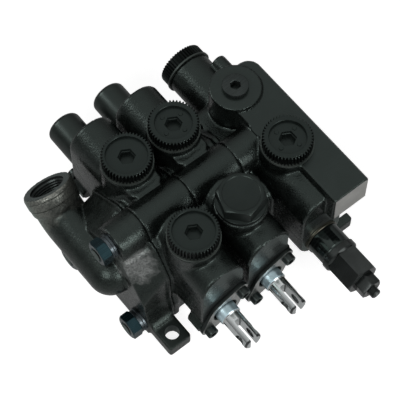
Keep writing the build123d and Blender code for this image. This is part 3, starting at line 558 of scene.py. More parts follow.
def dress_node(name: str) -> None:
    """Give a CAD node its finish.

    Args:
        name: Name of the node.
    """
    fits = [key for key in NODE_FINISHES if name.startswith(key)]
    finish = NODE_FINISHES[max(fits, key=len)]
    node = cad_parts[name]
    node.data.materials.clear()
    node.data.materials.append(finish.material())


# Modelling


def clear_selection() -> None:
    """Leave edit mode and deselect everything."""
    if bpy.context.object and bpy.context.object.mode != "OBJECT":
        bpy.ops.object.mode_set(mode="OBJECT")
    bpy.ops.object.select_all(action="DESELECT")


def activate(piece: bpy.types.Object) -> None:
    """Make a piece the only selected and active object.

    Args:
        piece: Object to select.
    """
    clear_selection()
    piece.select_set(True)
    bpy.context.view_layer.objects.active = piece


def apply_modifier(piece: bpy.types.Object, kind: str, **settings: object) -> None:
    """Add a modifier to a piece and apply it.

    Args:
        piece: Object to change.
        kind: Modifier type.
        settings: Values for the modifier's properties.
    """
    activate(piece)
    modifier = piece.modifiers.new(kind.lower(), kind)
    for label, value in settings.items():
        setattr(modifier, label, value)
    bpy.ops.object.modifier_apply(modifier=modifier.name)


def smooth_shade(piece: bpy.types.Object, angle: float) -> None:
    """Smooth a piece's shading except across edges sharper than an angle in degrees."""
    activate(piece)
    bpy.ops.object.shade_smooth_by_angle(angle=math.radians(angle))


def round_normals(piece: bpy.types.Object, least: float) -> None:
    """Give the round walls of a turned piece exact normals, so that cuts in them leave no blotches.

    Args:
        piece: Object still lying round the local Z axis.
        least: Radius in millimetres beyond which walls are round.
    """
    mesh = piece.data
    normals = [corner.vector.copy() for corner in mesh.corner_normals]
    for polygon in mesh.polygons:
        for corner in polygon.loop_indices:
            spot = mesh.vertices[mesh.loops[corner].vertex_index].co
            out = Vector((spot.x, spot.y, 0.0))
            if out.length > least * MM and polygon.normal.dot(out.normalized()) > 0.995:
                normals[corner] = out.normalized()
    mesh.normals_split_custom_set(normals)


def move_to(
    piece: bpy.types.Object, where: Point, toward: Toward = Toward.UP, turn: float = 0.0,
) -> bpy.types.Object:
    """Put a piece made round the local Z axis in its place, with the place in its mesh.

    Args:
        piece: Object at the origin.
        where: Place of its local origin, in millimetres.
        toward: Direction of its Z axis.
        turn: Turn about its Z axis before it is laid over, in degrees.

    Returns:
        The same object.
    """
    lay = Vector((0, 0, 1)).rotation_difference(Vector(toward.value)).to_matrix().to_4x4()
    if toward is Toward.DOWN:
        lay = Matrix.Rotation(math.pi, 4, "X")
    spin = Matrix.Rotation(math.radians(turn), 4, "Z")
    piece.data.transform(Matrix.Translation([v * MM for v in where]) @ lay @ spin)
    piece.data.update()
    return piece


def step_in(rise: float, factor: float, level: float = 0.0) -> None:
    """Extrude the selected ring by a rise in millimetres and resize it about the axis, at a level on it."""
    bpy.ops.mesh.extrude_edges_move(TRANSFORM_OT_translate={"value": (0, 0, rise * MM)})
    bpy.ops.transform.resize(value=(factor, factor, 1.0), center_override=(0, 0, level * MM))


def lathe(name: str, profile: Profile, segments: int = 64, closed: bool = False) -> bpy.types.Object:
    """Turn a profile round the local Z axis, by extruding and resizing one ring of edges.

    Args:
        name: Name of the new object.
        profile: Points of radius and height, in millimetres, from one end to the other.
        segments: Number of sides.
        closed: True for a ring or a tube, whose profile comes back to its start.

    Returns:
        The new object.
    """
    clear_selection()
    radius, height = profile[0]
    bpy.ops.mesh.primitive_circle_add(vertices=segments, radius=radius * MM, fill_type="NOTHING")
    piece = bpy.context.object
    piece.name = name
    bpy.ops.object.mode_set(mode="EDIT")
    bpy.ops.mesh.select_all(action="SELECT")
    bpy.ops.transform.translate(value=(0, 0, height * MM))
    if not closed:
        bpy.ops.mesh.extrude_edges_move()
        bpy.ops.mesh.merge(type="CENTER")
        bpy.ops.mesh.select_all(action="SELECT")
        bpy.ops.mesh.region_to_loop()
    points = list(profile[1:]) + ([profile[0]] if closed else [])
    for next_radius, next_height in points:
        step_in(next_height - height, next_radius / radius, next_height)
        radius, height = next_radius, next_height
    if not closed:
        bpy.ops.mesh.extrude_edges_move()
        bpy.ops.mesh.merge(type="CENTER")
    bpy.ops.mesh.select_all(action="SELECT")
    bpy.ops.mesh.remove_doubles(threshold=1e-7)
    bpy.ops.mesh.normals_make_consistent(inside=False)
    bpy.ops.object.mode_set(mode="OBJECT")
    return piece


def bar(name: str, radius: float, start: float, end: float, segments: int = 48) -> bpy.types.Object:
    """Plain round bar along local Z, used as a blank or a cutter."""
    return lathe(name, [(radius, start), (radius, end)], segments)


def block(name: str, size: Point, centre: Point = (0.0, 0.0, 0.0)) -> bpy.types.Object:
    """Make a plain block, used as a cutter.

    Args:
        name: Name of the new object.
        size: Sizes along X, Y and Z, in millimetres.
        centre: Place of its centre, in millimetres.

    Returns:
        The block.
    """
    clear_selection()
    bpy.ops.mesh.primitive_cube_add(size=1.0)
    piece = bpy.context.object
    piece.name = name
    piece.data.transform(Matrix.Diagonal((*(v * MM for v in size), 1.0)))
    return move_to(piece, centre)


def join(pieces: Sequence[bpy.types.Object], name: str) -> bpy.types.Object:
    """Join pieces to one mesh.

    Args:
        pieces: Objects to join. The first keeps its data.
        name: Name of the result.

    Returns:
        The joined object.
    """
    activate(pieces[0])
    for piece in pieces[1:]:
        piece.select_set(True)
    if len(pieces) > 1:
        bpy.ops.object.join()
    pieces[0].name = name
    return pieces[0]


def boolean(piece: bpy.types.Object, tool: bpy.types.Object, operation: str = "DIFFERENCE") -> None:
    """Cut, join or intersect a piece with a tool, and remove the tool."""
    apply_modifier(piece, "BOOLEAN", object=tool, operation=operation, solver="EXACT")
    bpy.data.objects.remove(tool)


def bevel(piece: bpy.types.Object, width: float, segments: int = 2, angle: float = 35.0) -> None:
    """Round a piece's sharp edges.

    Args:
        piece: Object to change.
        width: Width of the rounding, in millimetres.
        segments: Number of steps in the rounding.
        angle: Least angle of an edge that is rounded, in degrees.
    """
    apply_modifier(
        piece, "BEVEL", width=width * MM, segments=segments, limit_method="ANGLE",
        angle_limit=math.radians(angle), harden_normals=False, miter_outer="MITER_ARC",
    )


def hexagon_bar(name: str, flats: float, height: float, both_ends: bool = False) -> bpy.types.Object:
    """Make a hexagon with its corners turned off.

    Args:
        name: Name of the new object.
        flats: Size across flats.
        height: Height along local Z, from 0.
        both_ends: True when the lower corners are turned off as well.

    Returns:
        The hexagon, its corners on local Y.
    """
    corner = flats / math.sqrt(3)
    flat = flats / 2 - 0.25
    drop = (corner - flat) * math.tan(math.radians(30))
    # The cone alone makes the ends that it trims, as coinciding end faces tear the nut at random.
    spare = 1.0 if both_ends else 0.0
    blank = lathe(name, [(corner, -spare), (corner, height + spare)], 6)
    low = [(flat, 0.0), (corner + 0.2, drop + 0.12)] if both_ends else [(corner + 0.2, 0.0)]
    cone = lathe("cone", low + [(corner + 0.2, height - drop - 0.12), (flat, height)], 96)
    boolean(blank, cone, "INTERSECT")
    return blank


def threaded_bar(name: str, radius: float, pitch: float, start: float, end: float) -> bpy.types.Object:
    """Make a bar with a screw thread and run-out ends.

    Args:
        name: Name of the new object.
        radius: Outer radius.
        pitch: Rise of one turn.
        start: Lower end.
        end: Upper end.

    Returns:
        The bar.
    """
    rings = math.ceil((end - start) / pitch * 6)
    step = (end - start) / rings
    piece = lathe(name, [(radius, start + step * index) for index in range(rings + 1)], 48)
    for vertex in piece.data.vertices:
        x, y, z = vertex.co / MM
        if math.hypot(x, y) < 0.5 * radius:
            continue
        phase = (z / pitch - math.atan2(y, x) / math.tau) % 1.0
        groove = 0.6 * pitch * abs(2.0 * phase - 1.0)
        end_cut = max(0.0, 0.7 * pitch - (end - z), 0.7 * pitch - (z - start))
        factor = (radius - max(groove, end_cut)) / radius
        vertex.co.x *= factor
        vertex.co.y *= factor
    return piece


def diamond(name: str) -> bpy.types.Object:
    """Make a diamond plate round the local Z axis, with an ear at each end of one diagonal.

    Args:
        name: Name of the new object.

    Returns:
        The plate.
    """
    thickness = 3.0
    discs = [bar(name, 14.0, 0.0, thickness, 96)]
    for offset in (-EAR_OFFSET, EAR_OFFSET):
        discs.append(move_to(bar("ear", 6.0, 0.0, thickness, 64), (offset, offset, 0.0)))
    plate = join(discs, name)
    bpy.ops.object.mode_set(mode="EDIT")
    bpy.ops.mesh.select_all(action="SELECT")
    bpy.ops.mesh.convex_hull()
    bpy.ops.mesh.select_all(action="SELECT")
    bpy.ops.mesh.dissolve_limited(angle_limit=math.radians(1.0))
    bpy.ops.object.mode_set(mode="OBJECT")
    return plate


def copy_of_node(name: str, new_name: str) -> bpy.types.Object:
    """Copy a CAD node's mesh to a new piece, with its loose triangles merged.

    Args:
        name: CAD node.
        new_name: Name of the new piece.

    Returns:
        The new piece.
    """
    piece = bpy.data.objects.new(new_name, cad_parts[name].data.copy())
    bpy.context.scene.collection.objects.link(piece)
    activate(piece)
    bpy.ops.object.mode_set(mode="EDIT")
    bpy.ops.mesh.select_all(action="SELECT")
    bpy.ops.mesh.remove_doubles(threshold=1e-6)
    bpy.ops.object.mode_set(mode="OBJECT")
    return piece


def finish_piece(
    piece: bpy.types.Object, finish: Finish, node: str, body: str = BLOCK, smooth: float = 30.0,
) -> None:
    """Dress a piece, let it ride on its body and hide the node that it stands for.

    Args:
        piece: New piece.
        finish: Its finish.
        node: CAD node that it replaces.
        body: CAD body that it moves with.
        smooth: Angle in degrees over which edges stay sharp, or 0 where the piece is shaded already.
    """
    if smooth:
        smooth_shade(piece, smooth)
    finish.dress(piece)
    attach(piece, body)
    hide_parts(node)
    LOG.info("%s rides on %s", piece.name, body)


def mark_faces(piece: bpy.types.Object, marks: Sequence[int], *finishes: Finish) -> None:
    """Give some faces of a dressed piece further finishes.

    Args:
        piece: Dressed piece.
        marks: For each face, 0 for the piece's own finish or the number of a further one.
        finishes: The further finishes, from number 1 on.
    """
    for finish in finishes:
        piece.data.materials.append(finish.material())
    piece.data.polygons.foreach_set("material_index", [int(mark) for mark in marks])
    piece.data.update()


# Castings


@dataclass
class Hole:
    """A round hole of a casting, along local Z from its mouth inwards.

    The steps give a radius and the depth down to which it holds. A thread pitch cuts a thread into the first
    step.
    """

    where: Point
    toward: Toward
    steps: Profile
    pitch: float = 0.0

    def plug(self) -> bpy.types.Object:
        """Make the stopper that closes the mouth while the casting's skin is made."""
        radius = self.steps[0][0]
        return move_to(bar("plug", radius + 0.8, -3.5, 0.0), self.where, self.toward)

    def cutter(self) -> bpy.types.Object:
        """Make the tool that opens the hole again.

        Returns:
            The tool, in its place.
        """
        first, first_depth = self.steps[0]
        profile = [(first, 1.0)]
        if self.pitch > 0:
            profile.append((first, -self.pitch))
            for index in range(1, int(first_depth / self.pitch) * 2 - 2):
                radius = first - 0.55 * self.pitch * (index % 2)
                profile.append((radius, -self.pitch * (1.0 + index / 2)))
        depth_before = 0.0
        for radius, depth in self.steps:
            if radius != profile[-1][0]:
                profile.append((radius, -max(depth_before, -profile[-1][1])))
            profile.append((radius, -depth))
            depth_before = depth
        return move_to(lathe("cutter", profile, 48), self.where, self.toward)

    def wall(self, points: np.ndarray) -> np.ndarray:
        """Find the points that lie inside the hole or on its wall.

        Args:
            points: Points in millimetres.

        Returns:
            A mask with one entry for each point.
        """
        way = np.array(self.toward.value)
        offset = points - np.array(self.where)
        depth = -(offset @ way)
        reach = np.linalg.norm(offset + np.outer(depth, way), axis=1)
        return (depth > 0.4) & (depth < self.steps[-1][1] + 0.2) & (reach < self.steps[0][0] + 0.1)


@dataclass
class Groove:
    """A fine groove turned into the outside of a casting's round end, at a depth below its mouth."""

    where: Point
    toward: Toward
    radius: float
    depth: float
    width: float = 1.3
    bite: float = 0.55

    def cutter(self) -> bpy.types.Object:
        """Make the ring that cuts the groove.

        Returns:
            The ring, in its place.
        """
        outer = self.radius + 2.0
        spread = 1.5 * self.width
        profile = [
            (self.radius - self.bite, -self.depth),
            (outer, spread - self.depth),
            (outer, -spread - self.depth),
        ]
        return move_to(lathe("cutter", profile, 96, closed=True), self.where, self.toward)


@dataclass
class Face:
    """A machined plane of a casting, at a distance from the origin along its direction."""

    toward: Toward
    distance: float
    within: tuple[Point, Point] | None = None
    finish: Finish = MACHINED

    def hits(self, points: np.ndarray, normals: np.ndarray, band: float, level: float) -> np.ndarray:
        """Find the points that lie on this plane.

        Args:
            points: Points in millimetres.
            normals: Normals at the points.
            band: Greatest distance from the plane.
            level: Least cosine between the normal and the plane's direction.

        Returns:
            A mask with one entry for each point.
        """
        way = np.array(self.toward.value)
        found = (np.abs(points @ way - self.distance) < band) & (normals @ way > level)
        if self.within:
            low, high = (np.array(corner) for corner in self.within)
            found &= np.all((points > low) & (points < high), axis=1)
        return found


def read_array(source: bpy.types.bpy_prop_collection, label: str) -> np.ndarray:
    """Read a vector property of all elements as rows.

    Args:
        source: A mesh's elements of one kind.
        label: Name of the property.

    Returns:
        One row of three numbers for each element.
    """
    data = np.empty(len(source) * 3, dtype=np.float32)
    source.foreach_get(label, data)
    return data.reshape(-1, 3).astype(float)


@dataclass
class Casting:
    """One sand casting: its CAD shape under a skin with soft edges, machined faces and bored holes."""

    node: str
    holes: list[Hole]
    faces: list[Face]
    voxel: float = 0.9
    quick_factor: float = 1.8
    softening: int = 6
    flat_band: float = 0.75
    paint: Finish = CASTING_PAINT
    grooves: list[Groove] = field(default_factory=list)

    def build(self) -> None:
        """Build and dress the casting."""
        blank = copy_of_node(self.node, f"{self.node}_skin")
        blank.data.materials.clear()
        piece = join([blank] + [hole.plug() for hole in self.holes], f"{self.node}_skin")
        size = self.voxel * 1.0
        apply_modifier(piece, "REMESH", mode="VOXEL", voxel_size=size * MM, adaptivity=0.0)
        apply_modifier(piece, "SMOOTH", factor=0.5, iterations=self.softening)
        self.flatten(piece)
        boolean(piece, join([cut.cutter() for cut in self.holes + self.grooves], "cutters"))
        finish_piece(piece, self.paint, self.node, smooth=40.0)
        self.mark_machined(piece)

    def flatten(self, piece: bpy.types.Object) -> None:
        """Press the softened skin back on each machined plane.

        Args:
            piece: The casting's skin, before its holes are bored.
        """
        mesh = piece.data
        points = read_array(mesh.vertices, "co") / MM
        normals = read_array(mesh.vertex_normals, "vector")
        for face in self.faces:
            way = np.array(face.toward.value)
            found = face.hits(points, normals, self.flat_band, 0.8)
            points[found] += np.outer(face.distance - points[found] @ way, way)
        mesh.vertices.foreach_set("co", (points * MM).astype(np.float32).ravel())
        mesh.update()

    def mark_machined(self, piece: bpy.types.Object) -> None:
        """Give each machined plane its own finish, and the bored walls the plain machined one.

        Args:
            piece: Dressed casting.
        """
        centres = read_array(piece.data.polygons, "center") / MM
        normals = read_array(piece.data.polygons, "normal")
        finishes = list(dict.fromkeys([MACHINED] + [face.finish for face in self.faces]))
        marks = np.zeros(len(centres), dtype=int)
        for face in self.faces:
            marks[face.hits(centres, normals, 0.06, 0.97)] = finishes.index(face.finish) + 1
        for hole in self.holes:
            marks[hole.wall(centres)] = 1
        mark_faces(piece, marks, *finishes)


def rod_holes(x: float, toward: Toward, depth: float, radius: float = 5.4) -> list[Hole]:
    """Holes of the three tie rods in a joint face.

    Args:
        x: Place of the face.
        toward: Direction out of the face.
        depth: Depth of the holes.
        radius: Radius of the holes.

    Returns:
        One hole for each rod.
    """
    return [Hole((x, y, z), toward, [(radius, depth)]) for y, z in RODS]


def gallery_holes(x: float, toward: Toward, radius: float) -> list[Hole]:
    """Shallow mouths of the two oil galleries in a joint face."""
    return [Hole((x, 62.0, 66.0), toward, [(radius, 3.0)]), Hole((x, 77.0, 26.0), toward, [(radius, 3.0)])]


def work_casting(number: int) -> Casting:
    """Describe one work section's casting.

    Args:
        number: Number of the section.

    Returns:
        The casting, ready to build.
    """
    x = SPOOL_X[number]
    x0 = x - SECTION_WIDTH / 2
    x1 = x + SECTION_WIDTH / 2
    holes = [
        Hole((x, FRONT_Y, SPOOL_Z), Toward.FRONT, [(11.5, 6.0), (8.6, 60.0)]),
        Hole((x, REAR_Y, SPOOL_Z), Toward.REAR, [(11.5, 6.0), (8.6, 60.0)]),
        Hole((x, 14.0, SEAT_Z), Toward.UP, [(9.4, 17.0)]),
        Hole((x, 86.0, SEAT_Z), Toward.UP, [(9.4, 17.0)]),
        Hole((x1, 38.0, 66.0), Toward.RIGHT, [(7.05, 15.0), (3.7, 20.0)]),
    ]
    for offset in (-EAR_OFFSET, EAR_OFFSET):
        holes.append(Hole((x + offset, FRONT_Y, SPOOL_Z + offset), Toward.FRONT, [(2.65, 12.0)]))
        holes.append(Hole((x + offset, REAR_Y, SPOOL_Z + offset), Toward.REAR, [(2.65, 12.0)]))
    holes += rod_holes(x0, Toward.LEFT, 19.0) + rod_holes(x1, Toward.RIGHT, 19.0)
    holes += gallery_holes(x0, Toward.LEFT, 6.0) + gallery_holes(x1, Toward.RIGHT, 8.6)
    faces = [
        Face(Toward.LEFT, -x0), Face(Toward.RIGHT, x1), Face(Toward.FRONT, -FRONT_Y),
        Face(Toward.REAR, REAR_Y), Face(Toward.UP, SEAT_Z),
    ]
    return Casting(f"work_section_{number}", holes, faces)


def outlet_casting() -> Casting:
    """Describe the tank-end casting.

    Returns:
        The casting, ready to build.
    """
    mouth = (-13.0, 122.8898, 62.8898)
    holes = [
        Hole((0.0, 0.0, 11.0), Toward.UP, [(5.25, 12.0)]),
        Hole(mouth, Toward.REAR_UP, [(13.2, 13.0), (10.5, 16.0)], pitch=1.8),
    ]
    holes += rod_holes(-11.0, Toward.LEFT, 9.0) + rod_holes(11.0, Toward.RIGHT, 9.0)
    holes += gallery_holes(11.0, Toward.RIGHT, 8.6)
    foot_top = ((-20.0, -20.0, 5.0), (20.0, 8.0, 15.0))
    faces = [
        Face(Toward.RIGHT, 11.0), Face(Toward.REAR_UP, (mouth[1] + mouth[2]) * math.sqrt(0.5)),
        Face(Toward.UP, 11.0, foot_top, MILLED_PAINT), Face(Toward.DOWN, 0.0),
    ]
    grooves = [Groove(mouth, Toward.REAR_UP, 19.0, 3.2), Groove(mouth, Toward.REAR_UP, 18.7, 9.6)]
    return Casting("outlet_section", holes, faces, paint=OUTLET_PAINT, grooves=grooves)


def inlet_casting() -> Casting:
    """Describe the pump-end casting.

    Returns:
        The casting, ready to build.
    """
    holes = [
        Hole((124.0, 29.0, SEAT_Z), Toward.UP, [(9.4, 17.0)]),
        Hole((124.0, 84.5, 104.0), Toward.UP, [(6.95, 13.0)]),
        Hole((124.0, 136.0, 58.0), Toward.REAR, [(9.4, 17.0)]),
        Hole((119.0, FRONT_Y, SPOOL_Z), Toward.FRONT, [(9.65, 31.0)]),
    ]
    holes += rod_holes(91.0, Toward.LEFT, 20.0, 5.15)
    holes += gallery_holes(91.0, Toward.LEFT, 6.0)
    relief_face = ((90.0, -20.0, 10.0), (150.0, -14.0, 74.0))
    faces = [
        Face(Toward.LEFT, -91.0), Face(Toward.UP, SEAT_Z, finish=MILLED_PAINT),
        Face(Toward.UP, 104.0, finish=MILLED_PAINT), Face(Toward.REAR, 136.0),
        Face(Toward.FRONT, -FRONT_Y, relief_face), Face(Toward.FRONT, 25.0, finish=BRIGHT_MACHINED),
        Face(Toward.DOWN, 0.0),
    ]
    return Casting("inlet_section", holes, faces)


# Port caps


@dataclass
class PortCap:
    """Knurled plastic screw cap with a recess, a hexagon socket and a seat ring."""

    node: str
    where: Point
    toward: Toward
    recess_radius: float
    dots: bool
    turn: float = 0.0
    radius: float = 17.6
    height: float = 9.0
    lift: float = 1.2
    teeth: int = 46
    tooth_depth: float = 1.35
    knurl_width: float = 2.5
    recess_depth: float = 2.4
    socket_flats: float = 10.5
    socket_depth: float = 6.0
    stem_radius: float = 9.25
    stem_length: float = 10.2

    def band(self) -> bpy.types.Object:
        """Make the cap's body, with teeth formed by drawing in every other pair of vertices.

        Returns:
            The body, round local Z.
        """
        clear_selection()
        count = 4 * self.teeth
        bpy.ops.mesh.primitive_circle_add(vertices=count, radius=self.radius * MM, fill_type="NOTHING")
        piece = bpy.context.object
        for vertex in piece.data.vertices:
            vertex.select = vertex.index % 4 in (2, 3)
        for edge in piece.data.edges:
            edge.select = False
        inner = (self.radius - self.tooth_depth) / self.radius
        bpy.ops.object.mode_set(mode="EDIT")
        bpy.ops.mesh.select_mode(type="VERT")
        bpy.ops.transform.resize(value=(inner, inner, 1.0), center_override=(0, 0, 0))
        bpy.ops.mesh.select_all(action="SELECT")
        bpy.ops.mesh.extrude_edges_move(TRANSFORM_OT_translate={"value": (0, 0, (self.height - 0.45) * MM)})
        step_in(0.45, (self.radius - 0.45) / self.radius)
        rim = self.radius - self.tooth_depth - 0.35
        self.step_round(piece, rim)
        step_in(0.0, (self.recess_radius + 0.25) / rim)
        step_in(-0.3, self.recess_radius / (self.recess_radius + 0.25))
        step_in(0.3 - self.recess_depth, 1.0)
        bpy.ops.mesh.edge_face_add()
        bpy.ops.mesh.select_all(action="DESELECT")
        bpy.ops.object.mode_set(mode="OBJECT")
        for vertex in piece.data.vertices:
            vertex.select = vertex.co.z < 0.01 * MM
        bpy.ops.object.mode_set(mode="EDIT")
        bpy.ops.mesh.edge_face_add()
        bpy.ops.mesh.select_all(action="SELECT")
        bpy.ops.mesh.normals_make_consistent(inside=False)
        bpy.ops.object.mode_set(mode="OBJECT")
        return piece

    @staticmethod
    def step_round(piece: bpy.types.Object, radius: float) -> None:
        """Extrude the selected toothed ring inwards to a plain circle.

        Args:
            piece: Cap in edit mode.
            radius: Radius of the circle, in millimetres.
        """
        bpy.ops.mesh.extrude_edges_move()
        mesh = bmesh.from_edit_mesh(piece.data)
        for vertex in mesh.verts:
            if vertex.select:
                vertex.co.x, vertex.co.y = vertex.co.xy.normalized() * radius * MM
        bmesh.update_edit_mesh(piece.data)

    def build(self) -> None:
        """Build and dress the cap."""
        piece = self.band()
        floor = self.height - self.recess_depth
        if self.dots:
            for index in range(4):
                dot = lathe("dot", [(1.55, -0.6), (1.55, 0.2), (1.35, 0.5)], 20)
                angle = math.radians(20 + 90 * index)
                move_to(dot, (9.0 * math.cos(angle), 9.0 * math.sin(angle), floor))
                boolean(piece, dot, "UNION")
        corner = self.socket_flats / math.sqrt(3)
        profile = [
            (corner - 0.5, -self.socket_depth), (corner - 0.5, -2.6), (corner, -2.2), (corner, -0.35),
            (corner + 0.6, 0.4),
        ]
        boolean(piece, move_to(lathe("socket", profile, 6), (0.0, 0.0, floor)))
        boolean(piece, bar("stem", self.stem_radius, -self.stem_length, 0.2), "UNION")
        piece.name = f"{self.node}_knurled"
        # The knurled side faces get the darker copy of the plastic, as painted shade.
        least = (self.radius - self.knurl_width) * MM
        sides = [abs(p.normal.z) < 0.5 and p.center.xy.length > least for p in piece.data.polygons]
        x, y, z = self.where
        dx, dy, dz = (v * self.lift for v in self.toward.value)
        move_to(piece, (x + dx, y + dy, z + dz), self.toward, self.turn)
        finish_piece(piece, CAP_PLASTIC, self.node, smooth=28.0)
        mark_faces(piece, sides, CAP_SIDE_PAINTED_SHADE)


# Spools and what surrounds their ends


@dataclass
class SpoolEnd:
    """One spool with its clevis, its retainer plate, its spring can and their screws."""

    number: int
    x: float

    def build(self) -> None:
        """Build every piece round this spool."""
        self.spool()
        self.plate()
        self.can()
        self.screws("retainer_screws", FRONT_Y - 3.0, Toward.FRONT)
        self.screws("spring_can_screws", REAR_Y + 3.0, Toward.REAR)

    def spool(self) -> None:
        """Turn the spool, slit its clevis and bore the pin hole."""
        profile = [(6.0, -163.0), (6.0, -155.2), (7.6, -155.0), (8.0, -154.6)]
        for centre in (77.0, 59.0, 41.0, 23.0):
            near = -(centre + 4.0 - FRONT_Y)
            far = near + 8.0
            profile += [(8.0, near), (5.0, near + 0.01), (5.0, far - 0.01), (8.0, far)]
        profile += [(8.0, 9.0), (7.75, 9.4), (6.95, 10.0), (6.9, 10.4), (6.9, 32.1), (6.6, 32.9), (5.9, 33.5)]
        piece = lathe(f"spool_{self.number}_ground", profile, 96)
        slot = self.slot_tool()
        pin = move_to(bar("pin", 4.0, -9.0, 9.0, 48), (0.0, 0.0, 26.5), Toward.RIGHT)
        centre_hole = bar("centre_hole", 4.15, -163.5, -152.0)
        boolean(piece, join([slot, centre_hole], "tools"))
        boolean(piece, pin)
        smooth_shade(piece, 30.0)
        round_normals(piece, 5.0)
        # The marks lay the painted sheen on the collar and the painted shade in the slot and the pin hole.
        marks = [self.spool_mark(piece.data, polygon) for polygon in piece.data.polygons]
        move_to(piece, (self.x, FRONT_Y, SPOOL_Z), Toward.FRONT)
        finish_piece(piece, BRIGHT_STEEL, f"spool_{self.number}", f"spool_{self.number}_body", 0.0)
        mark_faces(piece, marks, COLLAR_PAINTED_SHEEN, SLOT_PAINTED_SHADE)

    @staticmethod
    def spool_mark(mesh: bpy.types.Mesh, polygon: bpy.types.MeshPolygon) -> int:
        """Choose the material of one face of the spool.

        Args:
            mesh: Mesh of the spool, still round local Z.
            polygon: The face.

        Returns:
            0 for bright steel, 1 for the collar's painted sheen, 2 for the painted shade in the slot and the
            pin hole.
        """
        x, y, z = polygon.center / MM
        reach = math.hypot(x, y)
        ahead = max(mesh.vertices[index].co.z for index in polygon.vertices) / MM
        if 0.0 < ahead < 9.9 and reach > 6.5:
            return 1
        radial = abs(polygon.normal.x * x + polygon.normal.y * y) / max(reach, 0.1)
        return 2 if z > 12.0 and reach < 6.85 and radial < 0.97 and abs(polygon.normal.z) < 0.95 else 0

    @staticmethod
    def slot_tool() -> bpy.types.Object:
        """Make the cutter of the clevis slot, with soft inner corners.

        Returns:
            The cutter.
        """
        tool = block("slot", (5.0, 20.0, 20.0), (0.0, 0.0, 25.5))
        bevel(tool, 1.0, 3)
        return tool

    @staticmethod
    def ear_holes(piece: bpy.types.Object, side: int) -> None:
        """Bore the ears of a plate or a can. The side is 1 or -1, for either diagonal."""
        for offset in (-EAR_OFFSET, EAR_OFFSET):
            boolean(piece, move_to(bar("hole", 2.65, -1.0, 4.0, 32), (side * offset, offset, 0.0)))

    def plate(self) -> None:
        """Make the retainer plate with its worn face and dark edge."""
        piece = diamond(f"retainer_plate_{self.number}_stamped")
        bevel(piece, 0.5, 3, 60.0)
        boolean(piece, lathe("hole", [(9.5, -1.0), (9.5, 2.4), (10.6, 3.5)], 72))
        self.ear_holes(piece, 1)
        edges = [abs(polygon.normal.z) < 0.8 for polygon in piece.data.polygons]
        move_to(piece, (self.x, FRONT_Y, SPOOL_Z), Toward.FRONT)
        finish_piece(piece, PLATE_STEEL, f"retainer_plate_{self.number}", smooth=40.0)
        mark_faces(piece, edges, PLATE_EDGE)

    def can(self) -> None:
        """Draw the spring can from its flange to its rounded end."""
        outer = [(13.2, 0.2), (13.2, 32.6)]
        for step in range(1, 9):
            angle = math.radians(step * 90 / 8)
            outer.append((9.2 + 4.0 * math.cos(angle), 33.0 + 4.0 * math.sin(angle)))
        piece = lathe(f"spring_can_{self.number}_drawn", outer, 96)
        flange = diamond("flange")
        move_to(flange, (0.0, 0.0, 0.0), turn=90.0)
        bevel(flange, 0.7, 3, 60.0)
        boolean(piece, flange, "UNION")
        boolean(piece, bar("space", 11.2, -1.0, 34.0, 72))
        self.ear_holes(piece, -1)
        move_to(piece, (self.x, REAR_Y, SPOOL_Z), Toward.REAR)
        finish_piece(piece, CAN_PAINT, f"spring_can_{self.number}", smooth=40.0)

    def screws(self, kind: str, seat: float, toward: Toward) -> None:
        """Make the two socket-head screws of a plate or a can.

        Args:
            kind: Start of the node's name.
            seat: Place of the screw seats along Y.
            toward: Direction of the heads.
        """
        profile = [(2.5, -12.0), (2.5, 0.0), (4.05, 0.0), (4.25, 0.2), (4.25, 4.3), (4.05, 4.8), (3.6, 5.0)]
        both = []
        for offset in (-EAR_OFFSET, EAR_OFFSET):
            head = lathe("screw", profile, 48)
            boolean(head, lathe("socket", [(2.31, 2.5), (2.31, 4.75), (2.7, 5.1)], 6))
            both.append(move_to(head, (self.x + offset, seat, SPOOL_Z + offset), toward))
        piece = join(both, f"{kind}_{self.number}_heads")
        finish_piece(piece, SCREW_STEEL, f"{kind}_{self.number}")


# Tie rods


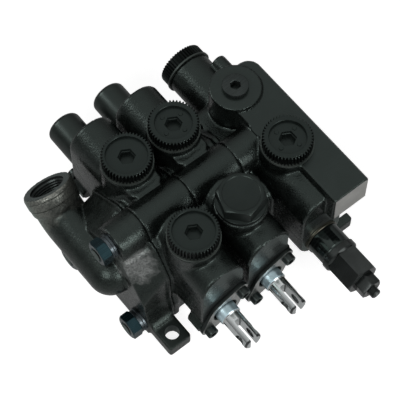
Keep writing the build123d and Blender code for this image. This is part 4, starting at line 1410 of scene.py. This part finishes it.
@dataclass
class TieRodSet:
    """The three tie rods with their nuts, spring washers and flat washers."""

    face_x: float = -11.0

    def build(self) -> None:
        """Build the four groups of pieces."""
        self.group("tie_rods", "threaded", ZINC, self.rod)
        self.group("tie_rod_nuts", "chamfered", ZINC_NUT, self.nut)
        self.group("tie_rod_washers", "flat", WASHER_STEEL, self.washer)
        self.group("tie_rod_lock_washers", "split", WASHER_STEEL, self.lock_washer)

    def group(self, node: str, suffix: str, finish: Finish, maker: Callable[[], bpy.types.Object]) -> None:
        """Make one piece at each rod and join the three.

        Args:
            node: CAD node that they replace.
            suffix: End of the joined piece's name.
            finish: Their finish.
            maker: Function that makes the first piece round local Z.
        """
        first = maker()
        pieces = []
        for index, (y, z) in enumerate(RODS):
            piece = first.copy()
            piece.data = first.data.copy()
            bpy.context.scene.collection.objects.link(piece)
            turn = 30.0 if node == "tie_rod_nuts" else 17.0 * index
            pieces.append(move_to(piece, (self.face_x, y, z), Toward.LEFT, turn))
        bpy.data.objects.remove(first)
        finish_piece(join(pieces, f"{node}_{suffix}"), finish, node)

    @staticmethod
    def rod() -> bpy.types.Object:
        """Make a tie rod: plain shank, threaded outer end.

        Returns:
            The rod.
        """
        shank = bar("rod", 4.95, -124.0, 3.0)
        boolean(shank, threaded_bar("thread", 5.0, 1.5, 2.0, 12.8), "UNION")
        return shank

    @staticmethod
    def nut() -> bpy.types.Object:
        """Make a hexagon nut on its washers.

        Returns:
            The nut, in its place above the washers.
        """
        nut = hexagon_bar("nut", 17.0, 8.0, both_ends=True)
        boolean(nut, lathe("bore", [(6.0, -0.5), (5.15, 0.6), (5.15, 7.4), (6.0, 8.5)], 48))
        bevel(nut, 0.2, 2, 25.0)
        return move_to(nut, (0.0, 0.0, 4.2))

    @staticmethod
    def washer() -> bpy.types.Object:
        """Make a flat washer."""
        profile = [(5.15, 0.0), (9.0, 0.0), (9.2, 0.25), (9.2, 1.7), (8.9, 2.0), (5.15, 2.0)]
        return lathe("washer", profile, 72, True)

    @staticmethod
    def lock_washer() -> bpy.types.Object:
        """Make a split spring washer.

        Returns:
            The washer, in its place above the flat one.
        """
        profile = [(5.15, 2.0), (8.5, 2.0), (8.6, 2.15), (8.6, 4.05), (8.5, 4.2), (5.15, 4.2)]
        ring = lathe("ring", profile, 72, True)
        slit = block("slit", (1.0, 6.0, 4.0))
        slit.data.transform(Matrix.Translation((0.0, 7.5 * MM, 3.1 * MM)) @ Matrix.Rotation(0.3, 4, "Y"))
        boolean(ring, slit)
        return ring


# Plugs


@dataclass
class Plugs:
    """Hexagon plug with its washer, and the socket plug in the boss."""

    plug_place: Point = (71.0, 14.0, SEAT_Z)
    boss_place: Point = (124.0, 84.5, 104.0)

    def build(self) -> None:
        """Build the plugs."""
        self.hexagon_plug()
        self.plug_washer()
        self.boss_plug()

    def hexagon_plug(self) -> None:
        """Make the hexagon plug with its collar and lightly dished top."""
        piece = hexagon_bar("plug", 30.0, 11.0)
        boolean(piece, lathe("dish", [(12.6, 10.6), (13.3, 11.3)], 96))
        move_to(piece, (0.0, 0.0, 2.0), turn=-18.0)
        profile = [
            (9.25, -15.5), (9.25, 0.0), (17.2, 0.0), (17.6, 0.4), (17.6, 1.7), (17.2, 2.15), (9.0, 2.4),
        ]
        boolean(piece, lathe("collar", profile, 96), "UNION")
        piece.name = "hex_plug_2_front_chamfered"
        x, y, z = self.plug_place
        move_to(piece, (x, y, z + 1.5))
        bevel(piece, 0.25, 2, 25.0)
        finish_piece(piece, PLUG_STEEL, "hex_plug_2_front")

    def plug_washer(self) -> None:
        """Make the sealing washer under the hexagon plug."""
        profile = [(9.4, 0.0), (15.8, 0.0), (16.0, 0.3), (16.0, 1.2), (15.8, 1.5), (9.4, 1.5)]
        piece = move_to(lathe("hex_plug_washer_ring", profile, 96, True), self.plug_place)
        finish_piece(piece, DARK_WASHER, "hex_plug_washer")

    def boss_plug(self) -> None:
        """Make the low plug with its hexagon socket."""
        profile = [(6.8, -12.0), (6.8, 0.0), (9.2, 0.0), (9.4, 0.25), (9.4, 2.8), (9.1, 3.3), (8.6, 3.5)]
        piece = lathe("inlet_boss_plug_socketed", profile, 72)
        corner = 6.5 / math.sqrt(3)
        profile = [(corner - 0.6, -2.2), (corner, -1.5), (corner, 3.0), (corner + 0.7, 3.7)]
        boolean(piece, move_to(lathe("socket", profile, 6), (0.0, 0.0, 0.0), turn=30.0))
        move_to(piece, self.boss_place)
        finish_piece(piece, BLACK_STEEL, "inlet_boss_plug")


# Relief valve


@dataclass
class ReliefValve:
    """Screwed body, hexagon sleeve, lock nut and adjusting screw of the main relief valve."""

    x: float = 119.0
    base_y: float = -19.0
    hex_y: float = -41.0
    sleeve_end_y: float = -62.0

    def build(self) -> None:
        """Build every outer piece of the relief valve."""
        self.washer()
        self.body()
        self.sleeve()
        self.lock_nut()
        self.adjusting_screw()

    def fit(
        self, piece: bpy.types.Object, node: str, finish: Finish, y: float,
        turn: float = 0.0, body: str = BLOCK,
    ) -> None:
        """Lay a piece on the valve's axis, its local Z to the front, and finish it.

        Args:
            piece: Piece round local Z.
            node: CAD node that it replaces.
            finish: Its finish.
            y: Place of its origin along Y.
            turn: Turn about its axis, in degrees.
            body: CAD body that it moves with.
        """
        move_to(piece, (self.x, y, SPOOL_Z), Toward.FRONT, turn)
        finish_piece(piece, finish, node, body)

    def washer(self) -> None:
        """Make the sealing washer."""
        profile = [(9.65, 0.0), (13.2, 0.0), (13.5, 0.3), (13.5, 1.7), (13.2, 2.0), (9.65, 2.0)]
        self.fit(lathe("relief_washer_ring", profile, 96, True), "relief_washer", BRIGHT_WASHER, FRONT_Y)

    def body(self) -> None:
        """Turn the body with its groove and undercut."""
        profile = [
            (9.5, -32.0), (9.5, 0.0), (12.2, 0.0), (12.7, 0.5), (12.7, 14.2), (12.3, 14.6), (12.1, 15.2),
            (12.1, 16.0), (9.0, 16.0), (9.0, 8.0), (6.5, 7.9), (6.5, -26.0), (2.6, -26.1), (2.6, -32.0),
        ]
        self.fit(lathe("relief_body_turned", profile, 96, True), "relief_body", GLOSS_BLACK, self.base_y)

    def sleeve(self) -> None:
        """Make the sleeve: chamfered ring, then a long hexagon."""
        piece = hexagon_bar("sleeve", 24.0, 21.0)
        profile = [
            (8.85, -14.0), (8.85, -6.0), (13.3, -6.0), (13.6, -5.7), (13.6, -1.5), (12.2, -0.1), (11.0, 0.3),
        ]
        boolean(piece, lathe("flange", profile, 96), "UNION")
        boolean(piece, lathe("bore", [(6.5, -15.0), (6.5, 0.0), (4.06, 0.1), (4.06, 20.4), (4.6, 21.2)], 48))
        piece.name = "relief_sleeve_hexagon"
        bevel(piece, 0.2, 2, 25.0)
        self.fit(piece, "relief_sleeve", RELIEF_STEEL, self.hex_y, 20.0)

    def lock_nut(self) -> None:
        """Make the lock nut."""
        piece = hexagon_bar("relief_lock_nut_chamfered", 15.0, 9.5)
        boolean(piece, lathe("bore", [(4.5, -0.4), (4.06, 0.2), (4.06, 9.0), (4.8, 9.9)], 48))
        bevel(piece, 0.2, 2, 25.0)
        self.fit(piece, "relief_lock_nut", RELIEF_STEEL, self.sleeve_end_y, 5.0)

    def adjusting_screw(self) -> None:
        """Make the adjusting screw with its thread and hexagon socket."""
        piece = bar("relief_adjusting_screw_threaded", 3.95, -31.0, -5.0)
        boolean(piece, threaded_bar("thread", 4.0, 1.25, -6.0, 14.5), "UNION")
        boolean(piece, lathe("socket", [(2.31, 10.5), (2.31, 14.2), (2.7, 14.8)], 6))
        self.fit(piece, "relief_adjusting_screw", RELIEF_STEEL, self.sleeve_end_y, body="relief_screw_body")


# Studio


@dataclass
class Studio:
    """Camera, floor, lamps and backdrop."""

    position: Point = (-261.5, -356.8, 1082.0)
    azimuth: float = -38.76
    elevation: float = 63.0
    lens: float = 148.85
    floor_seen: float = 0.85
    floor_mirrored: float = 0.15
    sky_mirrored: float = 0.8
    room_mirrored: float = 0.05
    room_light: float = 0.15

    def camera(self) -> None:
        """Set up the camera at the photograph's angle."""
        turn = math.radians(self.azimuth)
        lift = math.radians(self.elevation)
        right = Vector((math.cos(turn), math.sin(turn), 0.0))
        back = Vector((math.sin(turn) * math.cos(lift), -math.cos(turn) * math.cos(lift), math.sin(lift)))
        up = back.cross(right)
        data = bpy.data.cameras.new("camera")
        data.lens = self.lens
        data.sensor_width = 36.0
        data.clip_end = 20.0
        camera = bpy.data.objects.new("camera", data)
        bpy.context.scene.collection.objects.link(camera)
        matrix = Matrix((right, up, back)).transposed().to_4x4()
        matrix.translation = [v * MM for v in self.position]
        camera.matrix_world = matrix
        bpy.context.scene.camera = camera

    @staticmethod
    def lamp(name: str, where: Point, size: float, power: float, aim: Point = (60.0, 50.0, 50.0)) -> None:
        """Add a soft box.

        Args:
            name: Name of the lamp.
            where: Its place in millimetres.
            size: Its side in millimetres.
            power: Its power in watts.
            aim: Point that it faces.
        """
        data = bpy.data.lights.new(name, "AREA")
        data.shape = "SQUARE"
        data.size = size * MM
        data.energy = power
        lamp = bpy.data.objects.new(name, data)
        bpy.context.scene.collection.objects.link(lamp)
        lamp.location = [v * MM for v in where]
        away = Vector(where) - Vector(aim)
        lamp.rotation_euler = away.to_track_quat("Z", "Y").to_euler()

    def floor(self) -> None:
        """Add the pale floor, which looks white to the camera and keeps the shadow."""
        clear_selection()
        bpy.ops.mesh.primitive_plane_add(size=6.0, location=(0.06, 0.05, -0.0002))
        floor = bpy.context.object
        floor.name = "floor"
        material = bpy.data.materials.new("floor_white")
        material.use_nodes = True
        tree = material.node_tree
        path = add_node(tree, "LightPath").outputs
        mirrored = math_node(tree, "MULTIPLY", path["Is Glossy Ray"], self.floor_mirrored)
        glow = math_node(tree, "MULTIPLY_ADD", path["Is Camera Ray"], self.floor_seen, mirrored)
        surface = {
            "Base Color": (0.5, 0.5, 0.5, 1.0), "Roughness": 0.9, "Specular IOR Level": 0.0,
            "Emission Color": (1.0, 1.0, 1.0, 1.0), "Emission Strength": glow,
        }
        for label, value in surface.items():
            plug_in(tree, tree.nodes["Principled BSDF"].inputs[label], value)
        floor.data.materials.append(material)

    def world(self) -> None:
        """Light the room evenly and show white behind the object."""
        world = bpy.data.worlds.new("world")
        bpy.context.scene.world = world
        world.use_nodes = True
        tree = world.node_tree
        path = add_node(tree, "LightPath").outputs
        parts = add_node(tree, "SeparateXYZ", {0: add_node(tree, "TexCoord").outputs["Generated"]}).outputs
        height = math_node(tree, "POWER", math_node(tree, "MAXIMUM", parts[2], 0.0), 1.5)
        mirrored = math_node(tree, "MULTIPLY_ADD", height, self.sky_mirrored, self.room_mirrored)
        mirrored = math_node(tree, "MULTIPLY", mirrored, path["Is Glossy Ray"])
        seen = math_node(tree, "MAXIMUM", path["Is Camera Ray"], path["Is Transmission Ray"])
        strength = math_node(tree, "MULTIPLY_ADD", seen, 1.0 - self.room_light, self.room_light)
        back = tree.nodes["Background"].inputs
        back["Color"].default_value = (1.0, 1.0, 1.0, 1.0)
        tree.links.new(math_node(tree, "ADD", strength, mirrored), back["Strength"])

    def build(self) -> None:
        """Set up the whole studio."""
        bpy.context.scene.view_settings.view_transform = "Standard"
        self.camera()
        self.floor()
        self.world()
        self.lamp("key_left", (-700.0, -300.0, 800.0), 450.0, 3.5)
        self.lamp("back_left", (-500.0, 900.0, 700.0), 450.0, 3.0)
        self.lamp("front_low", (300.0, -900.0, 350.0), 500.0, 2.0)
        self.lamp("front_high", (60.0, -700.0, 520.0), 260.0, 1.6)


def cap_list() -> list[PortCap]:
    """List the five capped ports.

    Returns:
        The caps, ready to build.
    """
    return [
        PortCap("port_cap_1_front", (31.0, 14.0, SEAT_Z), Toward.UP, 14.4, False),
        PortCap("port_cap_1_rear", (31.0, 86.0, SEAT_Z), Toward.UP, 14.4, False),
        PortCap("port_cap_2_rear", (71.0, 86.0, SEAT_Z), Toward.UP, 12.9, True),
        PortCap("port_cap_inlet_top", (124.0, 29.0, SEAT_Z), Toward.UP, 12.9, True),
        PortCap("port_cap_inlet_rear", (124.0, 136.0, 58.0), Toward.REAR, 12.9, True, 30.0),
    ]


def main() -> None:
    """Build the whole scene."""
    logging.basicConfig(level=logging.INFO, format="%(name)s: %(message)s")
    Studio().build()
    for name in sorted(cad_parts):
        dress_node(name)
    castings = [outlet_casting(), work_casting(1), work_casting(2), inlet_casting()]
    for casting in castings:
        casting.build()
    for cap in cap_list():
        cap.build()
    for number, x in SPOOL_X.items():
        SpoolEnd(number, x).build()
    TieRodSet().build()
    Plugs().build()
    ReliefValve().build()
    clear_selection()


if __name__ == "__main__":
    main()
